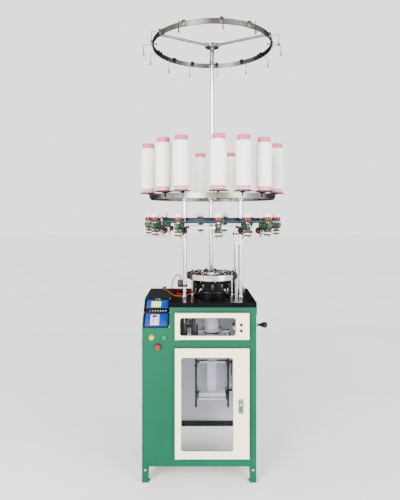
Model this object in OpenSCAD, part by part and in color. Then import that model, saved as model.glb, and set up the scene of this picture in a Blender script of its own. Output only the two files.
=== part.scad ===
// Small-diameter circular knitting machine: a sheet-metal cabinet with the
// drive and the take-down, a needle cylinder on its table, a ring of tape-driven
// yarn feeders, a round creel of yarn packages, and a ring of yarn guides on top.
// Origin: the needle cylinder's axis at floor level. +Z up, front towards -Y.

/* [Cabinet] */
// Height of the table top above the floor
table_h = 990; // [900:5:1050]
// Width of the main compartment under the table
main_w = 478; // [478:1:520]
// Width of the control column on the left
column_w = 152; // [152:1:180]
// Depth of cabinet and table
cabinet_d = 477; // [470:1:520]
// Height of the cabinet's lower edge above the floor
body_z = 89; // [70:1:100]
// Thickness of the black table plate
plate_t = 25; // [20:1:30]
// Thickness of the cabinet's sheet metal
sheet_t = 2; // [1.5:0.5:2.5]

/* [Doors] */
// Width of both doors
door_w = 406; // [380:1:410]
// Depth of the folded door pans
door_t = 14; // [12:1:16]
// Lower edge and upper edge of the lower door
lower_door_z = [139, 741]; // [100:1:760]
// Lower edge and upper edge of the upper door
upper_door_z = [791, 935]; // [770:1:945]

/* [Knitting head] */
// Outer radius of the black cam box
cam_box_r = 111; // [105:1:112]
// Outer radius of the needle cylinder
cylinder_r = 54; // [52:1:55]
// Number of needles
needle_count = 48; // [24:4:60]
// Outer radius of the carrier ring over the cam box
carrier_r = 152.5; // [150:0.5:155]

/* [Drive] */
// Gear module of the spur gears
gear_m = 4; // [4:1:4]
// Teeth on the cylinder's gear
cylinder_teeth = 55; // [55:1:55]
// Teeth on the pinions that mesh with it
pinion_teeth = 18; // [18:1:18]
// Teeth on each bevel gear
bevel_teeth = 20; // [16:2:24]

/* [Feeders] */
// Radius of the circle of feeder spindles
feeder_r = 382; // [375:1:390]
// Height of the feeder ring's lower edge
feeder_ring_z = 1428; // [1400:1:1450]
// Angles of the feeders, from the front towards the right
feeder_angles = [3, 27, 51, 78, 108, 165, 190, 233, 268, 302, 330];
// Angle of the wheel that drives the feeders' tape
tape_wheel_angle = 137; // [130:1:142]

/* [Creel and top ring] */
// Height of the creel ring's lower edge
creel_z = 1562; // [1540:1:1600]
// Radius of the circle of yarn packages
creel_r = 381; // [375:1:385]
// Angles of the yarn packages, from the front towards the right
package_angles = [3, 24, 46, 83, 120, 158, 190, 233, 275, 314, 333];
// Height and outer radius of a yarn tube
tube_size = [290, 35]; // [30:1:300]
// Height of the top ring's lower edge
top_ring_z = 2475; // [2400:1:2500]
// Outer radius of the top ring
top_ring_r = 358; // [350:1:362]
// Angles of the yarn guides, from the front towards the right
guide_angles = [6, 32, 64, 86, 117, 144, 173, 200, 223, 250, 274, 304, 333];

/* [Hidden] */

$fn = 48;

front_y = -cabinet_d / 2;
back_y = cabinet_d / 2;
right_x = 236;
divide_x = right_x - main_w;
left_x = divide_x - column_w;
plate_z = table_h - plate_t;
frame_t = 3;
panel_front_y = front_y + frame_t;

// Console: a slope from the column's front edge up to the table's level
console_low_z = 851;
console_top_y = -104;
console_run = console_top_y - front_y;
console_rise = table_h - console_low_z;
console_l = norm([console_run, console_rise]);
console_a = atan(console_rise / console_run);
console_t = 12;

// Doors hang on pivot pins near their left edge
door_x = -211;
door_gap = 4;
door_back_y = front_y - door_gap;
door_front_y = door_back_y - door_t;
pivot_x = -204;
pivot_y = door_back_y - door_t / 2;
pivot_r = 3;
running = 0.05;
upper_window_x = [-183, 120];
upper_window_z = [814, 909];
lower_window_x = [-176, 106];
lower_window_z = [184, 691];
window_corner = 12;
latch_x = 148.5;
latch_z = 440;

// Push buttons on the column
button_hole_r = 11;
button_stem_r = 5;

// Spur gears
gear_r = gear_m * cylinder_teeth / 2;
pinion_r = gear_m * pinion_teeth / 2;
shaft_x = gear_r + pinion_r;
gear_z = 925;
gear_w = 20;
pressure_a = 20;
backlash = 0.5;
sleeve_r = 50;
bore_r = 44;

// Crank and its bevel gears
crank_z = 838;
bevel_far = 28;
bevel_near = 14;
crank_arm = 116;
crank_arm_x = 243;
grip_x = 255;
grip_end_x = 315;
feeder_shaft_r = 12.5;
feeder_shaft_top = 1374;
shaft_notch_r = 15.5;

// Belt drive from the motor in the column
motor_x = -318;
belt_z = 806;
motor_pulley_r = 30;
drive_pulley_r = 52;
belt_t = 3.5;
belt_gap = 0.3;

// Take-down frame under the cylinder
rod_x = 97;
roller_r = 14;
roller_y = 16.5;
roller_z = 396;

// Tower
post_r = 11;
post_ring_r = 188;
post_angles = [60, 180, 300];
pole_r = 12.5;
pillar_r = 6.5;
pillar_ring_r = 118;
ring_top = 1567;
carrier_z = 1095;

// Feeder wheels and tape
wheel_r = 23;
spindle_r = 4;
tape_z = 1435;
tape_h = 7;
wheel_top = 1459;
shaft_pulley_r = 20;
tape_pulley_r = 16;
arm_belt_z = 1352;
feeder_ring_r = [318, 332];

// Creel
creel_band_r = [364.5, 369.5];
creel_h = 30;
hub_r = 46;
plate_r = 52;
package_z = creel_z + creel_h + 10;

// Top ring
top_band = 4.5;
top_h = 30;
top_hub_z = 2482;
guide_reach = 45;
guide_drop = 53;
guide_wire_r = 1.6;

// Hoses on the table
hose_r = 3;
hose_sides = 8;
red_route = [
  [-185, -60, 1087], [-185.2, -59.5, 1094], [-186.3, -57.1, 1102], [-189.9, -49.1, 1110.5],
  [-196, -36, 1114.3], [-205, -16, 1113], [-220, 20, 1101], [-236, 60, 1073],
  [-245, 95, 1040], [-249, 125, 1012], [-249, 150, 997], [-245, 174, 993], [-231, 191, 993],
  [-211, 191, 993], [-197, 177, 993], [-194, 155, 993], [-200, 127, 993], [-207, 98, 993],
  [-212, 66, 993], [-212, 38, 993], [-207, 22, 993], [-195.5, 12.7, 993], [-180.5, 12, 993],
  [-168, 20.5, 993.5], [-162, 35, 995], [-159.5, 49, 998], [-151, 60, 1001.5],
  [-138, 65, 1004.5], [-123, 62, 1006], [-106.55, 53.28, 1006]];
tan_route = [
  [-113.37, -36.18, 1006], [-127, -40.5, 1005.5], [-142, -45.5, 1001], [-158, -50.5, 996],
  [-176, -54.5, 993], [-196, -54, 993], [-214, -44, 993], [-228, -26, 993],
  [-238, -3, 993], [-248, 27, 993], [-258, 60, 993], [-268, 95, 993],
  [-278, 130, 993], [-289, 165, 993], [-299, 190, 994], [-303, 206, 996]];

green = "#3A9472";
ivory = "#F0EBDD";
near_black = "#1E1E20";
chrome = "#C9CDD0";
steel = "#A8A8A2";
cast_grey = "#8B8F92";

// ---------------------------------------------------------------- helpers

// Places children at an angle measured from the front towards the right
module at_angle(a, r) {
  rotate([0, 0, a - 90]) translate([r, 0, 0]) children();
}

module box(low, high) {
  translate(low) cube(high - low);
}

module tube(r_out, r_in, z0, z1) {
  difference() {
    translate([0, 0, z0]) cylinder(r = r_out, h = z1 - z0);
    translate([0, 0, z0 - 1]) cylinder(r = r_in, h = z1 - z0 + 2);
  }
}

module rod(r, z0, z1) {
  translate([0, 0, z0]) cylinder(r = r, h = z1 - z0);
}

// A cylinder along X
module rod_x(r, x0, x1) {
  translate([x0, 0, 0]) rotate([0, 90, 0]) cylinder(r = r, h = x1 - x0);
}

// A cylinder along Y
module rod_y(r, y0, y1) {
  translate([0, y1, 0]) rotate([90, 0, 0]) cylinder(r = r, h = y1 - y0);
}

// A rectangle with round corners, made of exact flats and arcs
module round_rect(low, high, r) {
  translate([low[0] + r, low[1]]) square([high[0] - low[0] - 2 * r, high[1] - low[1]]);
  translate([low[0], low[1] + r]) square([high[0] - low[0], high[1] - low[1] - 2 * r]);
  for (x = [low[0] + r, high[0] - r], y = [low[1] + r, high[1] - r])
    translate([x, y]) circle(r = r);
}

// Extrudes an outline drawn in X and Z from y0 back to y1
module upright(y0, y1) {
  translate([0, y1, 0]) rotate([90, 0, 0]) linear_extrude(y1 - y0) children();
}

// Extrudes an outline drawn in Y and Z from x0 to x1
module sideways(x0, x1) {
  translate([x0, 0, 0]) rotate([90, 0, 90]) linear_extrude(x1 - x0) children();
}

// Polar angle of an involute at radius rho on a gear of base radius rb
function involute(rho, rb) = tan(acos(rb / rho)) * 180 / PI - acos(rb / rho);

function gear_points(teeth, m) =
  let (
    r = m * teeth / 2,
    rb = r * cos(pressure_a),
    root = r - 1.25 * m,
    low = max(rb, root),
    tip = r + m,
    half = 90 / teeth - backlash / 2 / r * 180 / PI / 2,
    steps = 4,
    flank = [for (i = [0:steps]) let (rho = low + (tip - low) * i / steps)
      [rho, half + involute(r, rb) - involute(rho, rb)]],
    side = concat([[root, flank[0][1]]], flank)
  )
  [for (t = [0:teeth - 1], s = [-1, 1], i = [0:len(side) - 1])
    let (p = side[s < 0 ? i : len(side) - 1 - i], a = t * 360 / teeth + s * p[1])
    p[0] * [cos(a), sin(a)]];

module spur_gear(teeth, hole_r, z0, z1) {
  translate([0, 0, z0]) linear_extrude(z1 - z0) difference() {
    polygon(gear_points(teeth, gear_m));
    circle(r = hole_r);
  }
}

// Mitre gear with its large end at z = 0, pointing up to its apex
module bevel_gear() {
  pitch = 360 / bevel_teeth;
  outline = [for (t = [0:bevel_teeth - 1],
    p = [[-1.6, -0.27], [1.1, -0.12], [1.1, 0.12], [-1.6, 0.27]])
    (bevel_far + p[0]) * [cos((t + p[1]) * pitch), sin((t + p[1]) * pitch)]];
  linear_extrude(bevel_far - bevel_near, scale = bevel_near / bevel_far) polygon(outline);
}

// Rings of points of a round tube that follows a route, and its closed skin
function unit(v) = v / norm(v);
function heading(route, i) = unit(route[min(i + 1, len(route) - 1)] - route[max(i - 1, 0)]);
function ring_points(route, i, r) =
  let (
    t = heading(route, i),
    side = unit(cross(t, abs(t[2]) > 0.9 ? [1, 0, 0] : [0, 0, 1])),
    up = cross(side, t)
  )
  [for (k = [0:hose_sides - 1])
    route[i] + r * (cos(k * 360 / hose_sides) * side + sin(k * 360 / hose_sides) * up)];

module swept(route, r) {
  n = len(route);
  skin = [for (i = [0:n - 1]) each ring_points(route, i, r)];
  sides = [for (i = [0:n - 2], k = [0:hose_sides - 1])
    let (a = i * hose_sides + k, b = i * hose_sides + (k + 1) % hose_sides)
    each [[a, a + hose_sides, b], [b, a + hose_sides, b + hose_sides]]];
  ends = [[for (k = [0:hose_sides - 1]) k],
    [for (k = [hose_sides - 1:-1:0]) (n - 1) * hose_sides + k]];
  polyhedron(skin, concat(sides, ends));
}

// ---------------------------------------------------------------- cabinet

module front_frame() {
  color(green) upright(front_y, panel_front_y) difference() {
    polygon([[left_x, body_z], [right_x, body_z], [right_x, plate_z],
      [divide_x, plate_z], [divide_x, console_low_z], [left_x, console_low_z]]);
    round_rect([-194, 147], [177, 723], 6);
    round_rect([-194, 800], [177, 917], 6);
    for (p = [[-341, 799], [-270.5, 799], [-306, 748]]) translate(p) circle(r = button_hole_r);
  }
}

// Outline of the column's cheeks, cut back under the console's slope
function cheek(top) = [
  [panel_front_y, body_z], [back_y - sheet_t, body_z], [back_y - sheet_t, top],
  [console_top_y - (table_h - top) * console_run / console_rise, top],
  [panel_front_y, console_low_z + frame_t * console_rise / console_run]];

module side_panels() {
  color(green) {
    sideways(left_x, left_x + sheet_t) polygon(cheek(table_h));
    box([left_x + sheet_t, console_top_y, table_h - sheet_t],
      [divide_x, back_y - sheet_t, table_h]);
    difference() {
      box([right_x - sheet_t, panel_front_y, body_z], [right_x, back_y - sheet_t, plate_z]);
      translate([0, 0, crank_z]) rod_x(18, right_x - 5, right_x + 5);
    }
  }
}

module inner_panels() {
  color("#B5B6BC") {
    difference() {
      union() {
        upright(back_y - sheet_t, back_y) polygon([[left_x, 126], [right_x, 126],
          [right_x, plate_z], [divide_x, plate_z], [divide_x, table_h], [left_x, table_h]]);
        translate([motor_x, 0, 200]) rod_y(14, back_y - 1, back_y + 12);
      }
      translate([motor_x, 0, 200]) rod_y(6, back_y - 5, back_y + 20);
    }
    box([left_x + sheet_t, back_y - 12, body_z], [right_x - sheet_t, back_y, 126]);
    difference() {
      sideways(divide_x - sheet_t, divide_x) polygon(cheek(table_h - sheet_t));
      box([divide_x - 10, -66, belt_z - 6], [divide_x + 10, 66, belt_z + 26]);
    }
  }
}

// One leg: two tapered flanges and a top plate, with its bolt
module leg(mx, my) {
  mirror([mx, 0, 0]) mirror([0, my, 0]) {
    upright(0, 4) polygon([[0, 0], [36, 0], [40, body_z - 4], [0, body_z - 4]]);
    sideways(0, 4) polygon([[0, 0], [36, 0], [40, body_z - 4], [0, body_z - 4]]);
    box([0, 0, body_z - 4], [40, 40, body_z]);
    translate([19, 0, 72]) rod_y(5, -3, 0.5);
  }
}

module legs() {
  color(green) for (mx = [0, 1], my = [0, 1])
    translate([mx ? right_x : left_x, my ? back_y : front_y, 0]) leg(mx, my);
}

module table_plate() {
  color(near_black) difference() {
    union() {
      box([divide_x, front_y, plate_z], [right_x, back_y, table_h]);
      box([right_x - 1, front_y, plate_z - 43], [right_x + 3, back_y, table_h]);
    }
    box([right_x - 2, front_y - 1, plate_z - 50], [right_x, back_y + 1, plate_z]);
    rod(74, plate_z - 1, table_h + 1);
    translate([shaft_x, 0, 0]) rod(16, plate_z - 1, table_h + 1);
  }
}

// ---------------------------------------------------------------- console

module on_console() {
  translate([left_x + sheet_t, front_y, console_low_z]) rotate([console_a, 0, 0]) children();
}

module console_frame() {
  color("#0A1020") difference() {
    on_console() box([0, 0, -console_t], [column_w - 2 * sheet_t, console_l, 0]);
    box([left_x, front_y - 1, console_low_z - 20], [divide_x, panel_front_y, console_low_z]);
    box([left_x, console_top_y, table_h - sheet_t], [divide_x, console_top_y + 20, table_h + 1]);
  }
}

module console_instruments() {
  on_console() {
    color("#FFFF70") box([33, 125, 0], [100, 173, 3]);
    color("#D9DADF") box([39.5, 12, 0], [96.5, 83, 9]);
  }
}

module push_button(x, z, cap_r, cap_back, cap_front) {
  translate([x, 0, z]) {
    rod_y(cap_r, front_y - cap_front, front_y - cap_back);
    rod_y(button_stem_r, front_y - cap_back - 1, front_y + 24);
  }
}

module button_yellow() {
  color("#E5C97A") push_button(-341, 799, 13, 4, 10);
}

module button_green() {
  color("#5FB88F") push_button(-270.5, 799, 13, 4, 10);
}

module button_red() {
  color("#E2564F") push_button(-306, 748, 14.5, 6, 16);
}

// ---------------------------------------------------------------- doors

// Pivot pins on their brackets, and the keeper that the latch's cam hooks behind
module door_pivots() {
  color(steel) {
    for (z = [upper_door_z, lower_door_z], top = [0, 1]) {
      z_edge = top ? z[1] + 1 : z[0] - 4;
      box([-212, pivot_y - 6, z_edge], [-196, front_y, z_edge + 3]);
      translate([pivot_x, pivot_y, 0])
        rod(pivot_r, top ? z[1] - 12 : z[0] - 2, top ? z[1] + 2 : z[0] + 12);
    }
    box([180, front_y - 9, latch_z - 14], [183, front_y, latch_z + 14]);
    box([163, front_y - 11.5, latch_z - 14], [183, front_y - 8.5, latch_z + 14]);
  }
}

// A folded pan with a window, pivot blocks at its left corners
module door(z, window_x, window_z) {
  difference() {
    union() {
      difference() {
        box([door_x, door_front_y, z[0]], [door_x + door_w, door_back_y, z[1]]);
        box([door_x + 2, door_front_y + 2, z[0] + 2],
          [door_x + door_w - 2, door_back_y + 1, z[1] - 2]);
      }
      for (edge = [z[0], z[1] - 16])
        box([door_x, door_front_y, edge], [door_x + 15, door_back_y, edge + 16]);
    }
    upright(door_front_y - 1, door_front_y + 3)
      round_rect([window_x[0], window_z[0]], [window_x[1], window_z[1]], window_corner);
    for (edge = [z[0] - 1, z[1] - 13])
      translate([pivot_x, pivot_y, 0]) rod(pivot_r + running, edge, edge + 14);
  }
}

// A pane behind the door's front sheet
module window(window_x, window_z) {
  upright(door_front_y + 2, door_front_y + 5)
    round_rect([window_x[0] - 7, window_z[0] - 7], [window_x[1] + 7, window_z[1] + 7], 16);
}

module upper_door() {
  color(ivory) difference() {
    door(upper_door_z, upper_window_x, upper_window_z);
    for (z = [840, 873]) translate([151, 0, z]) rod_y(5, door_front_y - 1, door_front_y + 3);
  }
}

module upper_window() {
  color([0.8, 0.85, 0.9, 0.4]) window(upper_window_x, upper_window_z);
}

// Two key locks: barrel through the door's sheet, face and rear nut
module upper_locks() {
  color(chrome) for (z = [840, 873]) translate([151, 0, z]) {
    rod_y(8, door_front_y - 4, door_front_y);
    rod_y(5, door_front_y - 1, door_front_y + 11);
    rod_y(8, door_front_y + 2, door_front_y + 6);
  }
}

module lower_door() {
  color(ivory) difference() {
    door(lower_door_z, lower_window_x, lower_window_z);
    translate([latch_x, 0, latch_z]) rod_y(6 + running, door_front_y - 1, door_front_y + 3);
  }
}

module lower_window() {
  color([0.8, 0.85, 0.9, 0.4]) window(lower_window_x, lower_window_z);
}

// Handle plate, spindle through the door and locking cam. The cam stands upright
// when the door is free, and a quarter turn takes it behind the keeper's lip.
module lower_latch() {
  color(cast_grey) {
    upright(door_front_y - 9, door_front_y - 1)
      round_rect([latch_x - 12, latch_z - 49], [latch_x + 12, latch_z + 27], 5);
    translate([latch_x, 0, latch_z]) rod_y(6, door_front_y - 2, front_y - 4.5);
    box([latch_x - 7, front_y - 7.5, latch_z - 7], [latch_x + 7, front_y - 4.5, latch_z + 24]);
  }
}

// ---------------------------------------------------------------- drive

module motor() {
  color("#4C6B86") difference() {
    union() {
      translate([motor_x, 0, 0]) {
        rod(60, 500, 700);
        for (a = [0:15:345]) rotate([0, 0, a]) box([58, -1.5, 515], [66, 1.5, 685]);
        rod(70, 690, 702);
      }
      box([motor_x + 40, -50, 520], [divide_x - sheet_t, 50, 540]);
      box([motor_x + 40, -50, 650], [divide_x - sheet_t, 50, 670]);
      box([motor_x - 30, -80, 570], [motor_x + 30, -50, 640]);
    }
    translate([motor_x, 0, 0]) rod(9 + running, 675, 710);
  }
}

// A flat-belt pulley with two flanges
module pulley(r, z0, z1) {
  rod(r, z0, z1);
  rod(r + 4, z0 - 3, z0);
  rod(r + 4, z1, z1 + 3);
}

module motor_pulley() {
  color(steel) translate([motor_x, 0, 0]) {
    rod(9, 680, belt_z + 24);
    pulley(motor_pulley_r, belt_z, belt_z + 18);
  }
}

// A closed belt outside two round pulleys
module belt_loop(xy_a, r_a, xy_b, r_b, z0, z1, thick) {
  translate([0, 0, z0]) linear_extrude(z1 - z0) difference() {
    hull() {
      translate(xy_a) circle(r = r_a + belt_gap + thick);
      translate(xy_b) circle(r = r_b + belt_gap + thick);
    }
    hull() {
      translate(xy_a) circle(r = r_a + belt_gap);
      translate(xy_b) circle(r = r_b + belt_gap);
    }
  }
}

module drive_belt() {
  color("#202022") belt_loop([motor_x, 0], motor_pulley_r, [-shaft_x, 0], drive_pulley_r,
    belt_z + 1, belt_z + 17, belt_t);
}

module pinion_shaft() {
  color(steel) translate([-shaft_x, 0, 0]) {
    rod(9, 745, plate_z);
    pulley(drive_pulley_r, belt_z, belt_z + 18);
    spur_gear(pinion_teeth, 5, gear_z, gear_z + gear_w);
  }
}

// Bearings fixed to the table plate, the panels and the right post
module bearing_housings() {
  color(cast_grey) {
    // main bearing of the needle cylinder
    difference() {
      union() {
        rod(95, plate_z - 12, plate_z);
        rod(74, plate_z - 12, table_h - 2);
      }
      rod(sleeve_r + running, plate_z - 20, table_h);
    }
    // foot bearing of the pinion shaft
    difference() {
      union() {
        box([divide_x, -18, 730], [-shaft_x, 18, 760]);
        translate([-shaft_x, 0, 0]) rod(18, 730, 760);
      }
      translate([-shaft_x, 0, 0]) rod(9 + running, 740, 770);
    }
    // foot bearing of the feeder shaft
    difference() {
      union() {
        box([shaft_x, -20, 782], [right_x - sheet_t, 20, 802]);
        translate([shaft_x, 0, 0]) rod(20, 782, 802);
      }
      translate([shaft_x, 0, 0]) rod(feeder_shaft_r + running, 788, 810);
    }
    // bush of the crank
    translate([0, 0, crank_z]) difference() {
      union() {
        rod_x(18, 212, right_x + 4);
        rod_x(27, 222, right_x - sheet_t);
      }
      rod_x(8 + running, 200, 260);
    }
    // upper bearing of the feeder shaft, clamped to the right post
    difference() {
      union() {
        translate([shaft_x, 0, 0]) rod(20, 1302, 1340);
        hull() {
          translate([shaft_x, 0, 0]) rod(9, 1312, 1330);
          at_angle(60, post_ring_r) rod(9, 1312, 1330);
        }
        at_angle(60, post_ring_r) rod(19, 1302, 1340);
      }
      translate([shaft_x, 0, 0]) rod(feeder_shaft_r + running, 1290, 1350);
      at_angle(60, post_ring_r) rod(post_r, 1290, 1350);
    }
  }
}

module cylinder_gear() {
  color(steel) spur_gear(cylinder_teeth, sleeve_r, gear_z, gear_z + gear_w);
}

module feeder_shaft() {
  color(chrome) {
    translate([shaft_x, 0, 0]) {
      rod(feeder_shaft_r, 790, feeder_shaft_top);
      rotate([0, 0, 180 / pinion_teeth]) spur_gear(pinion_teeth, 5, gear_z, gear_z + gear_w);
      translate([0, 0, crank_z - bevel_far]) bevel_gear();
      pulley(shaft_pulley_r, arm_belt_z, arm_belt_z + 12);
    }
  }
}

module crank() {
  color("#26282B") translate([0, 0, crank_z]) {
    rod_x(8, shaft_x + bevel_near + 1, crank_arm_x + 2);
    translate([shaft_x + bevel_far, 0, 0]) rotate([0, -90, 0])
      rotate([0, 0, 180 / bevel_teeth]) bevel_gear();
    sideways(crank_arm_x, crank_arm_x + 9) hull() {
      circle(r = 21);
      translate([-crank_arm, 0]) circle(r = 13);
    }
    translate([0, -crank_arm, 0]) rod_x(5, crank_arm_x + 1, grip_end_x - 4);
  }
}

// Pear-shaped grip that turns on the crank's pin
module crank_grip() {
  l = grip_end_x - grip_x;
  color("#141414") translate([grip_x, -crank_arm, crank_z]) rotate([0, 90, 0])
    rotate_extrude() difference() {
      polygon([[0, 0], [8, 0], [7, 6], [6.5, 12], [8, 19], [11.5, 27], [15.2, 36],
        [17.3, 44], [16.8, 51], [13, 57], [7, l], [0, l]]);
      translate([-1, -1]) square([6 + running, l - 3 + 1]);
    }
}

// ---------------------------------------------------------------- knitting head

module cam_box() {
  color(near_black) {
    difference() {
      union() {
        rod(cam_box_r, table_h, 1090);
        rod(cam_box_r + 5, table_h, table_h + 10);
      }
      rod(60, table_h - 1, 1091);
      for (a = [0:30:330]) at_angle(a, cam_box_r) box([-5, -9, 1030], [10, 9, 1070]);
      for (s = [90, 270, 180]) at_angle(s, pillar_ring_r)
        rod(pillar_r + 0.3, table_h - 1, table_h + 20);
    }
    // hose nipples on the left
    for (a = [243.4, 287.7]) at_angle(a, 0) translate([0, 0, 1006]) rod_x(4, cam_box_r - 4, 119);
  }
}

module needle_cylinder() {
  color(steel) difference() {
    union() {
      rod(sleeve_r, 790, table_h + 10);
      rod(cylinder_r, table_h + 10, 1118);
    }
    rod(bore_r, 780, 1130);
    for (i = [0:needle_count - 1]) rotate([0, 0, i * 360 / needle_count])
      box([cylinder_r - 3, -0.7, table_h + 20], [cylinder_r + 5, 0.7, 1130]);
  }
}

// Latch needles in the cylinder's tricks: stem, butt and hook
module needles() {
  color(chrome) for (i = [0:needle_count - 1]) rotate([90, 0, i * 360 / needle_count])
    translate([cylinder_r - 2.9, 0, -0.5]) linear_extrude(1)
      polygon([[0, 1012], [2.4, 1012], [2.4, 1040], [4.4, 1041], [4.4, 1046], [2.4, 1047],
        [2.4, 1120], [3.6, 1124], [3.6, 1128], [1.8, 1130], [0, 1128]]);
}

module carrier_ring() {
  color(steel) difference() {
    rotate_extrude() polygon([[108, carrier_z], [carrier_r, carrier_z], [carrier_r, carrier_z + 30],
      [carrier_r - 6.5, carrier_z + 30], [carrier_r - 6.5, carrier_z + 12], [108, carrier_z + 12]]);
    translate([shaft_x, 0, 0]) rod(shaft_notch_r, carrier_z - 1, carrier_z + 31);
  }
}

// Sinker cap with the fingers that lead the yarns to the needles
module yarn_fingers() {
  color("#C4C2CC") {
    difference() {
      rotate_extrude() polygon([[58, 1107], [138, 1107], [138, 1113], [112, 1120], [58, 1120]]);
      translate([shaft_x, 0, 0]) rod(shaft_notch_r, 1100, 1130);
    }
    for (a = feeder_angles) at_angle(a + 8, 92) {
      box([-9, -6, 1119], [9, 6, 1126]);
      rod(2, 1120, 1146);
    }
  }
}

// Yarn-break sensor on the left post, needle sensor, oil cup, the block where the tan
// hose goes down into the column, and two oil bottles under the table plate
module table_fittings() {
  color("#161616") {
    box([-205, -80, 1049], [-165, -40, 1087]);
    difference() {
      union() {
        at_angle(300, post_ring_r) rod(17, 1056, 1068);
        box([-178, -88, 1056], [-158, -79, 1068]);
      }
      at_angle(300, post_ring_r) rod(post_r, 1050, 1075);
    }
    box([124, 32, table_h], [148, 70, 1088]);
    box([-314, 206, table_h], [-292, 228, 1004]);
    for (x = [-166, -105]) translate([x, -150, 0]) {
      rod(20, 785, 852);
      rod(17, 851, plate_z - 12);
      rod(9, plate_z - 13, plate_z);
    }
  }
  color(steel) translate([204, 163, 0]) {
    rod(13, table_h, table_h + 6);
    rod(10, table_h + 5, table_h + 22);
  }
}

// ---------------------------------------------------------------- take-down

module takedown_frame() {
  color(steel) difference() {
    union() {
      rod(62, 779, 790);
      rod(48, 765, 780);
      box([-rod_x - 7, -10, 765], [rod_x + 7, 10, 780]);
      for (s = [-1, 1]) {
        translate([s * rod_x, 0, 0]) rod(6, 313, 766);
        box([s * 85 - 3, -34, 368], [s * 85 + 3, 34, 424]);
        translate([s * 91, 0, 0]) box([-4, -6, 380], [4, 6, 414]);
      }
      box([-rod_x, -14, 582], [122, 14, 594]);
      for (s = [-1, 1]) box([-83, s * 30 - 4, 370], [83, s * 30 + 4, 380]);
      translate([116, 0, 0]) tension_spring(419, 583);
      box([rod_x, -6, 412], [122, 6, 420]);
    }
    rod(40, 760, 800);
    box([-40, -7, 575], [40, 7, 600]);
    for (y = [-roller_y, roller_y]) translate([0, y, roller_z]) rod_x(5 + running, -95, 95);
  }
}

// Closely wound tension spring, shown by its wavy outline
module tension_spring(z0, z1) {
  turns = 16;
  pitch = (z1 - z0) / turns;
  rotate_extrude() polygon(concat([[0, z0]],
    [for (i = [0:turns - 1]) each [[3.4, z0 + i * pitch], [5, z0 + (i + 0.5) * pitch]]],
    [[3.4, z1], [0, z1]]));
}

module roller(y) {
  color("#3A3B3E") translate([0, y, roller_z]) {
    rod_x(roller_r, -79, 79);
    rod_x(5, -90, 90);
  }
}

module roller_front() {
  roller(-roller_y);
}

module roller_rear() {
  roller(roller_y);
}

// The knitted tube: round in the cylinder, flat between the rollers
module fabric_tube() {
  sections = [[1108, 41, 41], [960, 38, 38], [765, 34, 22], [590, 29, 4.5],
    [425, 27.5, 1.9], [361, 27, 1.9]];
  color("#D9D9F2") for (i = [0:len(sections) - 2]) hull() for (s = [sections[i], sections[i + 1]])
    translate([0, 0, s[0]]) scale([s[1], s[2], 1]) linear_extrude(0.5) circle(r = 1, $fn = 32);
}

// ---------------------------------------------------------------- tower

module posts() {
  color(chrome) {
    for (a = post_angles) at_angle(a, post_ring_r) rod(post_r, table_h, ring_top);
    for (a = [90, 180, 270]) at_angle(a, pillar_ring_r) rod(pillar_r, table_h, carrier_z);
    rod(pole_r, creel_z + creel_h, top_hub_z);
  }
}

// Band of a ring between two radii
module band(r, z0, z1) {
  tube(r[1], r[0], z0, z1);
}

module feeder_ring() {
  color("#24485F") {
    difference() {
      union() {
        band(feeder_ring_r, feeder_ring_z, feeder_ring_z + 26);
        for (a = post_angles) {
          at_angle(a, post_ring_r) rod(18, feeder_ring_z, feeder_ring_z + 26);
          at_angle(a, 0) box([post_ring_r, -6, feeder_ring_z + 3],
            [feeder_ring_r[0] + 3, 6, feeder_ring_z + 23]);
        }
      }
      for (a = post_angles) at_angle(a, post_ring_r) rod(post_r, 1400, 1500);
    }
    // lamp holders on the posts
    for (a = post_angles) difference() {
      union() {
        at_angle(a, post_ring_r) rod(16, 1394, 1406);
        at_angle(a, 0) box([150, -4, 1394], [post_ring_r, 4, 1406]);
      }
      at_angle(a, post_ring_r) rod(post_r, 1390, 1410);
      ring_lamp();
    }
  }
}

module ring_lamp() {
  color("#F4F6F8") rotate_extrude() translate([154, 1400]) circle(r = 9);
}

// Yarn feeder's fixed housing, along +X from the ring outwards
module feeder_body(bore, with_pins = true) {
  difference() {
    union() {
      box([feeder_ring_r[1], -13, feeder_ring_z - 2], [354, 13, feeder_ring_z + 24]);
      box([feeder_ring_r[1] - 4, -15, 1393], [feeder_r + 12, 15, feeder_ring_z - 1]);
      translate([feeder_r + 12, 0, 0]) rod(15, 1393, feeder_ring_z - 1);
      translate([0, 0, 1386]) rod_x(17, 308, feeder_ring_r[1] - 4);
      translate([0, 0, 1398]) rod_x(6, 320, 345);
      if (with_pins)
        for (x = [340, 352]) translate([x, x > 345 ? 9 : -9, 0]) rod(1.5, 1336, 1395);
    }
    translate([feeder_r, 0, 0]) rod(bore + running, 1380, 1440);
  }
}

module feeder_bodies() {
  color("#5B7F62") {
    for (a = feeder_angles) at_angle(a, 0) feeder_body(spindle_r);
    at_angle(tape_wheel_angle, 0) feeder_body(spindle_r, false);
  }
}

// Spindle with the two tape pulleys above and the yarn wheel below
module feeder_wheel(a) {
  at_angle(a, feeder_r) {
    rod(spindle_r, 1360, 1484);
    color("#B9433B") rod(wheel_r, tape_z - 1.5, wheel_top);
    color("#E8E6DE") rod(wheel_r, 1462, 1482);
    rod(10, 1429, 1443);
    color("#D8CFB8") difference() {
      rod(20, 1360, 1387);
      for (k = [0:30:330]) rotate([0, 0, k]) box([16, -2, 1366], [25, 2, 1381]);
    }
    rod(9, 1386, 1392);
  }
}

module tape_wheel() {
  color("#B9433B") at_angle(tape_wheel_angle, feeder_r) {
    rod(spindle_r, 1348, 1468);
    rod(wheel_r, tape_z - 1.5, wheel_top);
    rod(10, 1429, 1443);
    pulley(tape_pulley_r, arm_belt_z, arm_belt_z + 12);
  }
}

// Point on the spindle circle
function spindle_xy(a) = feeder_r * [sin(a), -cos(a)];

module spindle_hull(grow) {
  hull() for (a = concat(feeder_angles, [tape_wheel_angle]))
    translate(spindle_xy(a)) circle(r = wheel_r + grow, $fn = 32);
}

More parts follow.
